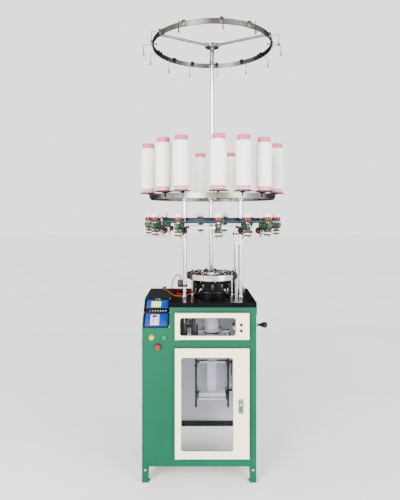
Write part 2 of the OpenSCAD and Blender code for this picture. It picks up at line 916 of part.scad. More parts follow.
// The tape round all the wheels, and the belt that drives it
module feeder_belts() {
  color("#1E4A50") translate([0, 0, tape_z]) linear_extrude(tape_h) difference() {
    spindle_hull(1.8);
    spindle_hull(0.5);
  }
  color("#2B2B2D") belt_loop([shaft_x, 0], shaft_pulley_r, spindle_xy(tape_wheel_angle),
    tape_pulley_r, arm_belt_z + 1, arm_belt_z + 11, 1.5);
}

// ---------------------------------------------------------------- creel

module creel_ring() {
  color("#B9BBB8") {
    band(creel_band_r, creel_z, creel_z + creel_h);
    difference() {
      union() {
        rod(hub_r, creel_z, creel_z + creel_h);
        for (a = post_angles) at_angle(a, 0)
          box([hub_r - 3, -7, ring_top], [creel_band_r[0] + 2, 7, creel_z + creel_h - 3]);
      }
      band([creel_band_r[0] - 0.1, creel_band_r[1] + 5], creel_z - 1, creel_z + creel_h + 1);
    }
  }
  color("#23272A") for (a = package_angles) at_angle(a, 0) {
    difference() {
      box([352, -5, creel_z + 8], [388, 5, package_z - 4]);
      band([creel_band_r[0] - 0.2, creel_band_r[1] + 0.2],
        creel_z - 1, creel_z + creel_h + 0.2);
    }
    translate([creel_r, 0, 0]) {
      rod(plate_r, package_z - 4, package_z);
      rod(9, package_z - 1, package_z + 120);
    }
  }
}

// Paper tubes that the yarn is wound on
module yarn_tubes() {
  color("#E7A5B2") for (a = package_angles) at_angle(a, creel_r)
    tube(tube_size[1], tube_size[1] - 4, package_z, package_z + tube_size[0]);
}

// Yarn wound on the tubes, with rounded shoulders
module yarn_packages() {
  r0 = tube_size[1];
  color("#F7F7F0") for (a = package_angles) at_angle(a, creel_r)
    rotate_extrude() polygon([[r0, package_z + 22], [r0 + 6, package_z + 24],
      [r0 + 8.5, package_z + 34], [r0 + 8.5, package_z + 252], [r0 + 6, package_z + 262],
      [r0, package_z + 264]]);
}

// ---------------------------------------------------------------- top ring

module top_ring() {
  color("#B9BBB8") {
    band([top_ring_r - top_band, top_ring_r], top_ring_z, top_ring_z + top_h);
    rod(41.5, top_hub_z, top_hub_z + 16);
    for (a = post_angles) at_angle(a, 0) translate([0, 0, top_hub_z + 8])
      rod_x(7, 35, top_ring_r - top_band + 2);
  }
}

// Yarn guide: clamp on the ring, bent wire and ceramic eye
module yarn_hook() {
  reach = top_ring_r + 8 + guide_reach;
  z = top_ring_z + 15;
  difference() {
    box([top_ring_r - top_band - 6, -10, top_ring_z + 3],
      [top_ring_r + 8, 10, top_ring_z + top_h + 6]);
    band([top_ring_r - top_band, top_ring_r], top_ring_z - 1, top_ring_z + top_h);
  }
  translate([0, 0, z]) rod_x(guide_wire_r, top_ring_r + 6, reach);
  translate([reach, 0, z]) sphere(r = guide_wire_r, $fn = 24);
  translate([reach, 0, 0]) rod(guide_wire_r, z - guide_drop, z);
  translate([reach, 0, z - guide_drop - 6]) rotate([90, 0, 0]) rotate_extrude()
    translate([6, 0]) circle(r = 2.2, $fn = 24);
}

module yarn_hooks() {
  color("#3C3F42") for (a = guide_angles) at_angle(a, 0) yarn_hook();
}

// ---------------------------------------------------------------- hoses

module hose_red() {
  color("#8A3D36") swept(red_route, hose_r);
}

module hose_tan() {
  color("#B0703C") swept(tan_route, hose_r);
}

// ---------------------------------------------------------------- nodes

front_frame();
side_panels();
inner_panels();
legs();
table_plate();
console_frame();
console_instruments();
door_pivots();
upper_door();
upper_window();
upper_locks();
lower_door();
lower_window();
lower_latch();
button_yellow();
button_green();
button_red();
motor();
motor_pulley();
drive_belt();
pinion_shaft();
bearing_housings();
cylinder_gear();
feeder_shaft();
crank();
crank_grip();
cam_box();
needle_cylinder();
needles();
carrier_ring();
yarn_fingers();
table_fittings();
takedown_frame();
roller_front();
roller_rear();
fabric_tube();
posts();
feeder_ring();
feeder_bodies();
feeder_belts();
tape_wheel();
ring_lamp();
creel_ring();
yarn_tubes();
yarn_packages();
top_ring();
yarn_hooks();
hose_red();
hose_tan();
for (i = [1:len(feeder_angles)])
  feeder_wheel(feeder_angles[i - 1]);
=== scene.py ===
"""Circular knitting machine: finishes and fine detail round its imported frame.

Lengths inside the makers are millimetres in the machine's own frame: the needle
cylinder's axis is at X 0, Y 0, the floor at Z 0, and the front faces -Y.
"""

import math
import random

import bmesh
import bpy
from bpy.props import (BoolProperty, FloatProperty, FloatVectorProperty, IntProperty,
                       PointerProperty)
from mathutils import Matrix, Vector


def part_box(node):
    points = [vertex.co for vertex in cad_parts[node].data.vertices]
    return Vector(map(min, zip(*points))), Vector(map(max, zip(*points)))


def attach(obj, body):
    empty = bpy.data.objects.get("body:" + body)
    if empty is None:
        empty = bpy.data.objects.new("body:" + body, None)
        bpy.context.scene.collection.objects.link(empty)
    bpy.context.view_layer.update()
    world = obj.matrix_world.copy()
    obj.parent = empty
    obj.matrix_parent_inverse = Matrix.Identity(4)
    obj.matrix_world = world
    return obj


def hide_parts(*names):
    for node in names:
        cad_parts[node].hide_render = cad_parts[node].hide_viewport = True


bl_info = {
    "name": "Circular Knitting Machine",
    "version": (1, 0, 0),
    "blender": (4, 5, 0),
    "location": "View3D > Sidebar > Knitting",
    "description": "Builds the finishes and fine detail of a small circular knitting machine",
    "category": "Object",
}

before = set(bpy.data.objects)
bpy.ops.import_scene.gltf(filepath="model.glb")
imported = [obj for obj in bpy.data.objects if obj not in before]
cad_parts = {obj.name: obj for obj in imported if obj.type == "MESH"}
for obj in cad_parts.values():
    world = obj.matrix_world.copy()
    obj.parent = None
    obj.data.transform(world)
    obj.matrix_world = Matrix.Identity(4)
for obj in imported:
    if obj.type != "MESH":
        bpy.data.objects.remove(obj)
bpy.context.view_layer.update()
MM = 0.001

# Angles round the machine, in degrees from the front towards the right
FEEDERS = (3, 27, 51, 78, 108, 165, 190, 233, 268, 302, 330)
TAPE_WHEEL = 137
PACKAGES = (3, 24, 46, 83, 120, 158, 190, 233, 275, 314, 333)
GUIDES = (6, 32, 64, 86, 117, 144, 173, 200, 223, 250, 274, 304, 333)
POSTS = (60, 180, 300)
PILLARS = (90, 180, 270)
FEEDER_R = 382
PACKAGE_R = 381


# ---------------------------------------------------------------- colour and nodes

def linear(hex_colour):
    """Turns an sRGB hex colour into the linear RGBA that sockets take."""
    parts = [int(hex_colour[i:i + 2], 16) / 255 for i in (1, 3, 5)]
    return tuple(c / 12.92 if c <= 0.04045 else ((c + 0.055) / 1.055) ** 2.4
                 for c in parts) + (1.0,)


def add_node(tree, kind, inputs=None, **settings):
    """Adds one node, with its own settings, its sockets' values and the links into them."""
    made = tree.nodes.new(kind)
    for name, value in settings.items():
        setattr(made, name, value)
    for name, value in (inputs or {}).items():
        if isinstance(value, bpy.types.NodeSocket):
            tree.links.new(value, made.inputs[name])
        else:
            made.inputs[name].default_value = value
    return made


def start_finish(name, colour, roughness, **sockets):
    """Begins a finish: returns it with its tree, its shader and the piece's own coordinates."""
    finish = bpy.data.materials.new(name)
    finish.use_nodes = True
    tree = finish.node_tree
    shader = tree.nodes["Principled BSDF"]
    shader.inputs["Base Color"].default_value = linear(colour)
    shader.inputs["Roughness"].default_value = roughness
    for socket, value in sockets.items():
        shader.inputs[socket.replace("_", " ")].default_value = value
    finish.diffuse_color = linear(colour)
    place = add_node(tree, "ShaderNodeTexCoord").outputs["Object"]
    return finish, tree, shader, place


def vary(tree, shader, place, colour, other, scale, detail=3.0, low=0.35, high=0.65):
    """Drifts the base colour between two shades with soft noise."""
    noise = add_node(tree, "ShaderNodeTexNoise",
                     {"Vector": place, "Scale": scale, "Detail": detail})
    share = add_node(tree, "ShaderNodeMapRange",
                     {"Value": noise.outputs["Fac"], "From Min": low, "From Max": high})
    mixed = add_node(tree, "ShaderNodeMix",
                     {0: share.outputs["Result"], 6: linear(colour), 7: linear(other)},
                     data_type="RGBA")
    tree.links.new(mixed.outputs[2], shader.inputs["Base Color"])
    return share.outputs["Result"]


def roughen(tree, shader, height, distance, strength=1.0):
    """Raises the surface by a height pattern; distance is its depth in metres."""
    bump = add_node(tree, "ShaderNodeBump",
                    {"Height": height, "Distance": distance, "Strength": strength})
    tree.links.new(bump.outputs["Normal"], shader.inputs["Normal"])


def powder_coat(name, colour, other, roughness=0.38):
    # Sprayed and baked polyester powder: satin, with faint orange peel 2 mm across
    finish, tree, shader, place = start_finish(name, colour, roughness, IOR=1.5,
                                               Specular_IOR_Level=0.15)
    vary(tree, shader, place, colour, other, 2.2)
    peel = add_node(tree, "ShaderNodeTexNoise", {"Vector": place, "Scale": 420, "Detail": 1.0})
    roughen(tree, shader, peel.outputs["Fac"], 0.00012, 0.5)
    smear = add_node(tree, "ShaderNodeTexNoise", {"Vector": place, "Scale": 9, "Detail": 4.0})
    gloss = add_node(tree, "ShaderNodeMapRange",
                     {"Value": smear.outputs["Fac"], "From Min": 0.3, "From Max": 0.7,
                      "To Min": roughness - 0.05, "To Max": roughness + 0.08})
    tree.links.new(gloss.outputs["Result"], shader.inputs["Roughness"])
    return finish


def black_enamel(name, colour="#040405", roughness=0.3):
    # Stoved gloss enamel on a machined casting: deep black with a clear reflection
    finish, tree, shader, place = start_finish(
        name, colour, roughness, IOR=1.52, Specular_IOR_Level=0.06)
    vary(tree, shader, place, colour, "#08080A", 14)
    flow = add_node(tree, "ShaderNodeTexNoise", {"Vector": place, "Scale": 90, "Detail": 2.0})
    roughen(tree, shader, flow.outputs["Fac"], 0.00015, 0.4)
    return finish


def chrome_plate(name, colour="#D5D8DB", roughness=0.09):
    # Hard chrome on ground bar: mirror bright, with fine polishing lines round it
    finish, tree, shader, place = start_finish(name, colour, roughness, Metallic=1.0)
    lines = add_node(tree, "ShaderNodeTexWave",
                     {"Vector": place, "Scale": 260, "Distortion": 3.0, "Detail": 2.0},
                     bands_direction="Z")
    roughen(tree, shader, lines.outputs["Fac"], 0.00004, 0.35)
    smear = add_node(tree, "ShaderNodeTexNoise", {"Vector": place, "Scale": 25, "Detail": 3.0})
    gloss = add_node(tree, "ShaderNodeMapRange",
                     {"Value": smear.outputs["Fac"], "From Min": 0.3, "From Max": 0.7,
                      "To Min": roughness * 0.7, "To Max": roughness * 1.9})
    tree.links.new(gloss.outputs["Result"], shader.inputs["Roughness"])
    return finish


def machined_steel(name, colour, other, roughness=0.3, scale=220):
    # Turned or milled steel: bright metal with tool lines under a millimetre apart
    finish, tree, shader, place = start_finish(name, colour, roughness, Metallic=1.0)
    vary(tree, shader, place, colour, other, 18)
    lines = add_node(tree, "ShaderNodeTexWave",
                     {"Vector": place, "Scale": scale, "Distortion": 1.5, "Detail": 2.0},
                     bands_direction="Z")
    roughen(tree, shader, lines.outputs["Fac"], 0.00008, 0.4)
    return finish


def moulded_plastic(name, colour, other, roughness=0.4, grain=0.00008):
    # Injection-moulded plastic: even colour, a fine spark-eroded grain and soft gloss
    finish, tree, shader, place = start_finish(name, colour, roughness, IOR=1.5,
                                               Specular_IOR_Level=0.3)
    vary(tree, shader, place, colour, other, 30)
    pits = add_node(tree, "ShaderNodeTexNoise", {"Vector": place, "Scale": 900, "Detail": 2.0})
    roughen(tree, shader, pits.outputs["Fac"], grain, 0.5)
    return finish


def rubber_skin(name, colour, other, roughness=0.5):
    # Extruded rubber: matt skin with faint dust in its pores
    finish, tree, shader, place = start_finish(name, colour, roughness, IOR=1.52,
                                               Specular_IOR_Level=0.25)
    vary(tree, shader, place, colour, other, 60)
    pores = add_node(tree, "ShaderNodeTexNoise", {"Vector": place, "Scale": 700, "Detail": 3.0})
    roughen(tree, shader, pores.outputs["Fac"], 0.0001, 0.5)
    return finish


def cast_iron(name, colour="#6E7276", other="#5C6064"):
    # Grey iron as cast, oiled: dull metal with sand grain about 1.5 mm across
    finish, tree, shader, place = start_finish(name, colour, 0.55, Metallic=0.7)
    vary(tree, shader, place, colour, other, 35)
    sand = add_node(tree, "ShaderNodeTexVoronoi", {"Vector": place, "Scale": 650})
    roughen(tree, shader, sand.outputs["Distance"], 0.0003, 0.5)
    return finish


def clear_sheet(name, colour="#1E2224", alpha=0.05):
    # Cast acrylic sheet 3 mm thick: clear, with a bright face reflection
    finish, tree, shader, place = start_finish(name, colour, 0.06, IOR=1.49, Alpha=alpha)
    haze = add_node(tree, "ShaderNodeTexNoise", {"Vector": place, "Scale": 12, "Detail": 4.0})
    gloss = add_node(tree, "ShaderNodeMapRange",
                     {"Value": haze.outputs["Fac"], "From Min": 0.3, "From Max": 0.7,
                      "To Min": 0.04, "To Max": 0.12})
    tree.links.new(gloss.outputs["Result"], shader.inputs["Roughness"])
    return finish


def wound_yarn(name, colour, other):
    # Cotton yarn cross-wound on a tube: threads 2 mm apart in two crossing helices,
    # drawn coarser than the real 0.4 mm thread so that they show
    finish, tree, shader, place = start_finish(
        name, colour, 0.85, IOR=1.46, Sheen_Weight=0.4, Sheen_Roughness=0.5)
    parts = add_node(tree, "ShaderNodeSeparateXYZ", {"Vector": place})
    angle = add_node(tree, "ShaderNodeMath",
                     {0: parts.outputs["Y"], 1: parts.outputs["X"]}, operation="ARCTAN2")
    threads = []
    for lead in (0.011, -0.011):
        rise = add_node(tree, "ShaderNodeMath", {0: angle.outputs[0], 1: lead},
                        operation="MULTIPLY")
        along = add_node(tree, "ShaderNodeMath",
                         {0: parts.outputs["Z"], 1: rise.outputs[0]}, operation="ADD")
        turns = add_node(tree, "ShaderNodeMath", {0: along.outputs[0], 1: 2 * math.pi / 0.0033},
                         operation="MULTIPLY")
        threads.append(add_node(tree, "ShaderNodeMath", {0: turns.outputs[0]},
                                operation="SINE").outputs[0])
    crossed = add_node(tree, "ShaderNodeMath", {0: threads[0], 1: threads[1]},
                       operation="MAXIMUM")
    fuzz = add_node(tree, "ShaderNodeTexNoise", {"Vector": place, "Scale": 500, "Detail": 3.0})
    height = add_node(tree, "ShaderNodeMath", {0: crossed.outputs[0], 1: fuzz.outputs["Fac"]},
                      operation="ADD")
    roughen(tree, shader, height.outputs[0], 0.0006, 0.6)
    # painted shade: the colour darkens in the gaps between the crossing threads
    shade = add_node(tree, "ShaderNodeMapRange",
                     {"Value": crossed.outputs[0], "From Min": -0.6, "From Max": 0.7})
    mixed = add_node(tree, "ShaderNodeMix",
                     {0: shade.outputs["Result"], 6: linear(other), 7: linear(colour)},
                     data_type="RGBA")
    tree.links.new(mixed.outputs[2], shader.inputs["Base Color"])
    return finish


def paper_tube(name, colour, other):
    # Spiral-wound coated paper: its plies meet in a line that climbs round the tube
    finish, tree, shader, place = start_finish(name, colour, 0.6, IOR=1.47)
    vary(tree, shader, place, colour, other, 25)
    seam = add_node(tree, "ShaderNodeTexWave",
                    {"Vector": place, "Scale": 14, "Distortion": 0.6}, bands_direction="DIAGONAL")
    roughen(tree, shader, seam.outputs["Fac"], 0.0003, 0.5)
    return finish


def knitted_cloth(name, colour, other):
    # Plain jersey: wales run down the tube, each stitch a small V, 5 mm by 4 mm,
    # drawn coarser than the real 2 mm stitch so that it shows
    finish, tree, shader, _ = start_finish(
        name, colour, 0.9, IOR=1.46, Sheen_Weight=0.5, Sheen_Roughness=0.4)
    place = add_node(tree, "ShaderNodeTexCoord").outputs["UV"]
    parts = add_node(tree, "ShaderNodeSeparateXYZ", {"Vector": place})
    wale = add_node(tree, "ShaderNodeMath", {0: parts.outputs["X"], 1: 0.5},
                    operation="FRACT")
    off = add_node(tree, "ShaderNodeMath", {0: wale.outputs[0], 1: 0.5}, operation="SUBTRACT")
    arm = add_node(tree, "ShaderNodeMath", {0: off.outputs[0]}, operation="ABSOLUTE")
    course = add_node(tree, "ShaderNodeMath", {0: parts.outputs["Y"], 1: arm.outputs[0]},
                      operation="ADD")
    turns = add_node(tree, "ShaderNodeMath", {0: course.outputs[0], 1: 2 * math.pi},
                     operation="MULTIPLY")
    stitch = add_node(tree, "ShaderNodeMath", {0: turns.outputs[0]}, operation="SINE")
    groove = add_node(tree, "ShaderNodeMath", {0: arm.outputs[0], 1: 3.0}, operation="MULTIPLY")
    height = add_node(tree, "ShaderNodeMath", {0: stitch.outputs[0], 1: groove.outputs[0]},
                      operation="SUBTRACT")
    roughen(tree, shader, height.outputs[0], 0.0008, 0.7)
    # painted shade: the colour darkens where the stitch's height is low, in the grooves between
    # wales and stitches
    shade = add_node(tree, "ShaderNodeMapRange",
                     {"Value": height.outputs[0], "From Min": -2.0, "From Max": 0.8})
    mixed = add_node(tree, "ShaderNodeMix",
                     {0: shade.outputs["Result"], 6: linear(other), 7: linear(colour)},
                     data_type="RGBA")
    tree.links.new(mixed.outputs[2], shader.inputs["Base Color"])
    return finish


def woven_tape(name, colour, other):
    # Woven nylon drive tape: ribs across it 2 mm apart
    finish, tree, shader, place = start_finish(name, colour, 0.75, IOR=1.46, Sheen_Weight=0.2)
    vary(tree, shader, place, colour, other, 80)
    ribs = add_node(tree, "ShaderNodeTexWave",
                    {"Vector": place, "Scale": 60, "Distortion": 0.4}, bands_direction="X")
    cross = add_node(tree, "ShaderNodeTexWave",
                     {"Vector": place, "Scale": 130, "Distortion": 0.4}, bands_direction="Z")
    both = add_node(tree, "ShaderNodeMath", {0: ribs.outputs["Fac"], 1: cross.outputs["Fac"]},
                    operation="ADD")
    roughen(tree, shader, both.outputs[0], 0.0003, 0.6)
    return finish


def lit_panel(name, colour, light, glow):
    # Back-lit display film: glows evenly, with a fine dot pitch
    finish, tree, shader, place = start_finish(name, colour, 0.25, IOR=1.5)
    shader.inputs["Emission Color"].default_value = linear(light)
    shader.inputs["Emission Strength"].default_value = glow
    dots = add_node(tree, "ShaderNodeTexVoronoi", {"Vector": place, "Scale": 900})
    roughen(tree, shader, dots.outputs["Distance"], 0.00005, 0.4)
    return finish


FINISHES = {}


def finish_named(name):
    """The finish of that name, made the first time it is asked for."""
    if name not in FINISHES:
        FINISHES[name] = RECIPES[name]()
    return FINISHES[name]


RECIPES = {
    "green_coat": lambda: powder_coat("green_powder_coat", "#044A34", "#06523A"),
    # painted shade: near-black green laid on green faces that look dark only because they are in
    # shade
    "green_painted_shade": lambda: rubber_skin("painted_shade_dark_green", "#06140E", "#081A12", 0.7),
    "sleeve_coat": lambda: powder_coat("pale_sleeve_enamel", "#F2EEFF", "#E9E4FC", 0.35),
    # pale rubber of the rollers; the same finish also paints light on the take-down's front faces
    "pale_rubber_and_painted_light": lambda: rubber_skin("pale_roller_rubber_and_painted_light", "#CFCDDC", "#C2C0D0", 0.5),
    "feeder_beige": lambda: moulded_plastic("feeder_beige_nylon", "#4A473C", "#403D33", 0.35),
    "ivory_coat": lambda: powder_coat("ivory_powder_coat", "#F3E8C6", "#F6ECCF", 0.4),
    "grey_coat": lambda: powder_coat("grey_powder_coat", "#E2E3F0", "#E9EAF5", 0.45),
    "blue_coat": lambda: powder_coat("blue_ring_paint", "#0B1C2B", "#0F2436", 0.35),
    "motor_coat": lambda: powder_coat("motor_paint", "#3C5A74", "#45657F", 0.4),
    "enamel": lambda: black_enamel("black_enamel"),
    "drum_enamel": lambda: black_enamel("black_cam_box_enamel", "#060607", 0.26),
    "chrome": lambda: chrome_plate("chrome_plate"),
    "nickel": lambda: chrome_plate("nickel_plate", "#CFC9BD", 0.16),
    "steel": lambda: machined_steel("turned_steel", "#B4B4B0", "#9C9C98"),
    "ring_steel": lambda: machined_steel("ring_steel", "#8E8B84", "#75726C", 0.3, 90),
    "dark_steel": lambda: machined_steel("blackened_steel", "#2E3133", "#3A3D40", 0.42),
    "brass": lambda: machined_steel("turned_brass", "#C79A4E", "#B08640", 0.3),
    "iron": lambda: cast_iron("oiled_cast_iron"),
    "black_iron": lambda: cast_iron("painted_cast_iron", "#1B1C1E", "#242528"),
    "glass": lambda: clear_sheet("clear_acrylic"),
    "lamp": lambda: moulded_plastic("opal_lamp_tube", "#F1F3F5", "#E6EAEE", 0.3),
    "black_plastic": lambda: moulded_plastic("black_abs", "#101113", "#17181B", 0.42),
    "console_black": lambda: moulded_plastic("console_abs", "#04070D", "#060A12", 0.4),
    "console_blue": lambda: moulded_plastic("blue_overlay_film", "#04348F", "#063A9A", 0.35),
    "key_grey": lambda: moulded_plastic("grey_key_plastic", "#C9CBD2", "#BFC1C9", 0.45),
    "key_red": lambda: moulded_plastic("red_key_plastic", "#B4483F", "#A8423A", 0.4),
    "key_amber": lambda: moulded_plastic("amber_lens", "#D9B92E", "#C9A825", 0.25),
    "key_lime": lambda: moulded_plastic("lime_lens", "#9DB83C", "#8FA934", 0.25),
    "yellow_button": lambda: moulded_plastic("yellow_button_plastic", "#AB9F1C", "#A0941A", 0.3),
    "green_button": lambda: moulded_plastic("green_button_plastic", "#126A44", "#10603D", 0.3),
    "red_button": lambda: moulded_plastic("red_button_plastic", "#881712", "#7E140F", 0.3),
    "feeder_green": lambda: moulded_plastic("feeder_enamel", "#16331F", "#1C3B26", 0.35),
    "feeder_red": lambda: moulded_plastic("feeder_red_nylon", "#6E120E", "#640F0B", 0.35),
    "feeder_white": lambda: moulded_plastic("feeder_white_nylon", "#E4E1D6", "#DAD6C9", 0.35),
    "feeder_maroon": lambda: moulded_plastic("feeder_maroon_nylon", "#2C090E", "#370D13", 0.3),
    "ceramic": lambda: moulded_plastic("glazed_ceramic", "#E7DEDC", "#DCD0CE", 0.12, 0.00001),
    "red_hose": lambda: rubber_skin("red_rubber_hose", "#8E1C0C", "#7E180B", 0.35),
    "tan_hose": lambda: rubber_skin("tan_rubber_hose", "#94480F", "#86400E", 0.35),
    "belt": lambda: rubber_skin("black_belt_rubber", "#1A1A1B", "#242425", 0.6),
    "yarn": lambda: wound_yarn("white_cotton_yarn", "#FBFAF1", "#ECEADF"),
    "tube": lambda: paper_tube("pink_paper_tube", "#C46478", "#BC5A6E"),
    "knit": lambda: knitted_cloth("white_jersey", "#ECE8FF", "#D2CEF6"),
    "yarn_wrap": lambda: wound_yarn("yarn_on_wheel", "#F0EEE6", "#D6D3C8"),
    "paper_dark": lambda: paper_tube("tube_inside", "#8C5A62", "#7C4E56"),
    "tape": lambda: woven_tape("woven_drive_tape", "#081E26", "#0B2630"),
    "display": lambda: lit_panel("lit_display", "#1A1C02", "#F0FF00", 2.6),
    "display_dark": lambda: lit_panel("dark_display", "#0A0F14", "#000000", 0.0),
}


# ---------------------------------------------------------------- making pieces

def around(angle, r=0.0):
    """Frame whose X points outwards at an angle from the front towards the right."""
    return Matrix.Rotation(math.radians(angle - 90), 4, "Z") @ Matrix.Translation((r, 0, 0))


# Turns an outline drawn in X and Z upright, its thickness along Y
UPRIGHT = Matrix(((1, 0, 0, 0), (0, 0, 1, 0), (0, 1, 0, 0), (0, 0, 0, 1)))
LAY = {"Z": Matrix.Identity(4), "X": Matrix.Rotation(math.pi / 2, 4, "Y"),
       "Y": Matrix.Rotation(-math.pi / 2, 4, "X")}


class Work:
    """One piece on the bench, in millimetres; each face keeps the finish it is made with."""

    def __init__(self, *finishes):
        self.mesh = bmesh.new()
        self.finishes = finishes
        self.place = Matrix.Identity(4)

    def take(self, points, faces, finish=0, lay=Matrix.Identity(4)):
        """Adds faces over a list of points."""
        at = self.place @ lay
        made = [self.mesh.verts.new(at @ Vector(p)) for p in points]
        for f in faces:
            face = self.mesh.faces.new([made[i] for i in f])
            face.material_index = finish
            face.smooth = True

    def turn(self, profile, finish=0, at=(0, 0, 0), axis="Z", steps=32):
        """Turns a profile of (radius, height) round an axis; the ends are closed."""
        points, rings = [], []
        for r, z in profile:
            if r < 1e-6:
                rings.append([len(points)])
                points.append((0, 0, z))
            else:
                rings.append(range(len(points), len(points) + steps))
                points += [(r * math.cos(k * 2 * math.pi / steps),
                            r * math.sin(k * 2 * math.pi / steps), z) for k in range(steps)]
        faces = []
        for a, b in zip(rings, rings[1:]):
            for k in range(steps):
                j = (k + 1) % steps
                if len(a) == 1 and len(b) == 1:
                    continue
                if len(a) == 1:
                    faces.append((a[0], b[j], b[k]))
                elif len(b) == 1:
                    faces.append((a[k], a[j], b[0]))
                else:
                    faces.append((a[k], a[j], b[j], b[k]))
        if profile[0] != profile[-1]:
            if len(rings[0]) > 1:
                faces.append(tuple(reversed(rings[0])))
            if len(rings[-1]) > 1:
                faces.append(tuple(rings[-1]))
        else:
            last = len(rings) - 1
            swap = dict(zip(rings[last], rings[0]))
            faces = [tuple(swap.get(i, i) for i in f) for f in faces]
            points = points[:len(points) - len(rings[last])]
        self.take(points, faces, finish, Matrix.Translation(at) @ LAY[axis])

    def block(self, low, high, finish=0, edge=1.0, lay=Matrix.Identity(4), steps=2):
        """A block with rounded edges."""
        shape = bmesh.new()
        bmesh.ops.create_cube(shape, size=1)
        size = [h - l for l, h in zip(low, high)]
        for v in shape.verts:
            v.co = Vector(l + s * (c + 0.5) for l, s, c in zip(low, size, v.co))
        edge = min(edge, min(size) * 0.45)
        bmesh.ops.bevel(shape, geom=shape.edges[:], offset=edge, segments=steps,
                        profile=0.5, affect="EDGES")
        shape.verts.index_update()
        self.take([v.co[:] for v in shape.verts],
                  [[v.index for v in f.verts] for f in shape.faces], finish, lay)
        shape.free()

    def plate(self, outline, low, high, finish=0, lay=Matrix.Identity(4)):
        """A flat plate of any outline in X and Y."""
        n = len(outline)
        points = [(x, y, low) for x, y in outline] + [(x, y, high) for x, y in outline]
        faces = [tuple(reversed(range(n))), tuple(range(n, 2 * n))]
        faces += [(i, (i + 1) % n, n + (i + 1) % n, n + i) for i in range(n)]
        self.take(points, faces, finish, lay)

    def wire(self, path, radius, finish=0, sides=8, closed=False):
        """A round wire along a path; the radius may be a list with one for each point."""
        path = [Vector(p) for p in path]
        n = len(path)
        side = None
        points = []
        for i, p in enumerate(path):
            if closed:
                ahead = path[(i + 1) % n] - path[i - 1]
            else:
                ahead = path[min(i + 1, n - 1)] - path[max(i - 1, 0)]
            ahead.normalize()
            if side is None:
                side = ahead.orthogonal().normalized()
            side = (side - ahead * side.dot(ahead)).normalized()
            up = ahead.cross(side)
            r = radius[i] if isinstance(radius, (list, tuple)) else radius
            points += [p + r * (math.cos(a) * side + math.sin(a) * up)
                       for a in (k * 2 * math.pi / sides for k in range(sides))]
        faces = []
        for i in range(n if closed else n - 1):
            for k in range(sides):
                j = (k + 1) % sides
                a, b = i * sides, ((i + 1) % n) * sides
                faces.append((a + k, a + j, b + j, b + k))
        if not closed:
            faces.append(tuple(reversed(range(sides))))
            faces.append(tuple(range((n - 1) * sides, n * sides)))
        self.take(points, faces, finish)

    def screw(self, at, axis="Z", head=4.0, finish=0, tall=2.5):
        """Socket-head screw: rounded head with a hexagon socket."""
        lay = Matrix.Translation(at) @ LAY[axis.strip("-")]
        if axis.startswith("-"):
            lay = lay @ Matrix.Rotation(math.pi, 4, "X")
        keep = self.place
        self.place = keep @ lay
        self.turn([(0, 0), (head, 0), (head, tall * 0.7), (head * 0.85, tall),
                   (head * 0.55, tall)], finish, steps=16)
        self.turn([(head * 0.5, tall + 0.02), (head * 0.5, tall * 0.35),
                   (0, tall * 0.35)], finish, steps=6)
        self.place = keep

    def done(self, name, body, origin=(0, 0, 0), stands_for=()):
        """Takes the piece off the bench: an object that rides on its CAD body."""
        bmesh.ops.recalc_face_normals(self.mesh, faces=self.mesh.faces[:])
        for e in self.mesh.edges:
            if len(e.link_faces) != 2 or e.calc_face_angle(0.0) > math.radians(36):
                e.smooth = False
        bmesh.ops.translate(self.mesh, verts=self.mesh.verts[:], vec=-Vector(origin))
        bmesh.ops.scale(self.mesh, verts=self.mesh.verts[:], vec=(MM, MM, MM))
        data = bpy.data.meshes.new(name)
        self.mesh.to_mesh(data)
        self.mesh.free()
        for f in self.finishes:
            data.materials.append(finish_named(f))
        piece = bpy.data.objects.new(name, data)
        piece.location = Vector(origin) * MM
        bpy.context.scene.collection.objects.link(piece)
        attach(piece, body)
        if stands_for:
            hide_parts(*stands_for)
        return piece


def coat(finish, *nodes):
    """Gives CAD nodes their finish."""
    for name in nodes:
        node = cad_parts[name]
        if not node.material_slots:
            node.data.materials.append(None)
        for held in node.material_slots:
            held.material = finish_named(finish)


def arc(centre, r, start, end, steps=12):
    """Points of an arc in X and Y, angles in degrees."""
    return [(centre[0] + r * math.cos(math.radians(start + (end - start) * i / steps)),
             centre[1] + r * math.sin(math.radians(start + (end - start) * i / steps)))
            for i in range(steps + 1)]


def rounded(low, high, r, steps=5):
    """Outline of a rectangle with round corners."""
    (x0, y0), (x1, y1) = low, high
    return (arc((x1 - r, y0 + r), r, -90, 0, steps) + arc((x1 - r, y1 - r), r, 0, 90, steps)
            + arc((x0 + r, y1 - r), r, 90, 180, steps)
            + arc((x0 + r, y0 + r), r, 180, 270, steps))


def corner(node, side):
    """Lowest (0) or highest (1) corner of a CAD node, in millimetres."""
    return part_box(node)[side] / MM


# ---------------------------------------------------------------- sizes a user may change

class KnittingSizes(bpy.types.PropertyGroup):
    """Fine detail on the machine's head and table."""

    hose_diameter: FloatProperty(
        name="Hose diameter", description="Outer diameter of the rubber hoses on the table",
        default=0.006, min=0.004, max=0.008, unit="LENGTH")
    wheel_ribs: IntProperty(
        name="Wheel ribs", description="Pins round each yarn wheel", default=12, min=6, max=24)
    drum_screws: IntProperty(
        name="Drum screws", description="Screws round the cam box's upper edge",
        default=24, min=6, max=48)
    spring_turns: IntProperty(
        name="Spring turns", description="Turns of the small feeder springs",
        default=7, min=3, max=12)
    with_screws: BoolProperty(
        name="Screws", description="Puts the small screws on panels and clamps", default=True)


class KnittingColours(bpy.types.PropertyGroup):
    """Colour and power of the studio light."""

    light_tone: FloatVectorProperty(
        name="Light", description="Colour of the soft boxes", subtype="COLOR",
        default=linear("#FFFDF8")[:3], min=0, max=1)
    light_power: FloatProperty(
        name="Light power", description="Power of the main soft box in watts",
        default=380.0, min=0, max=2000, unit="POWER")


class KnittingSettings(bpy.types.PropertyGroup):
    """All of the machine's settings."""

    sizes: PointerProperty(type=KnittingSizes)
    colours: PointerProperty(type=KnittingColours)


def sizes():
    return bpy.context.scene.knitting.sizes


# ---------------------------------------------------------------- camera and hoses

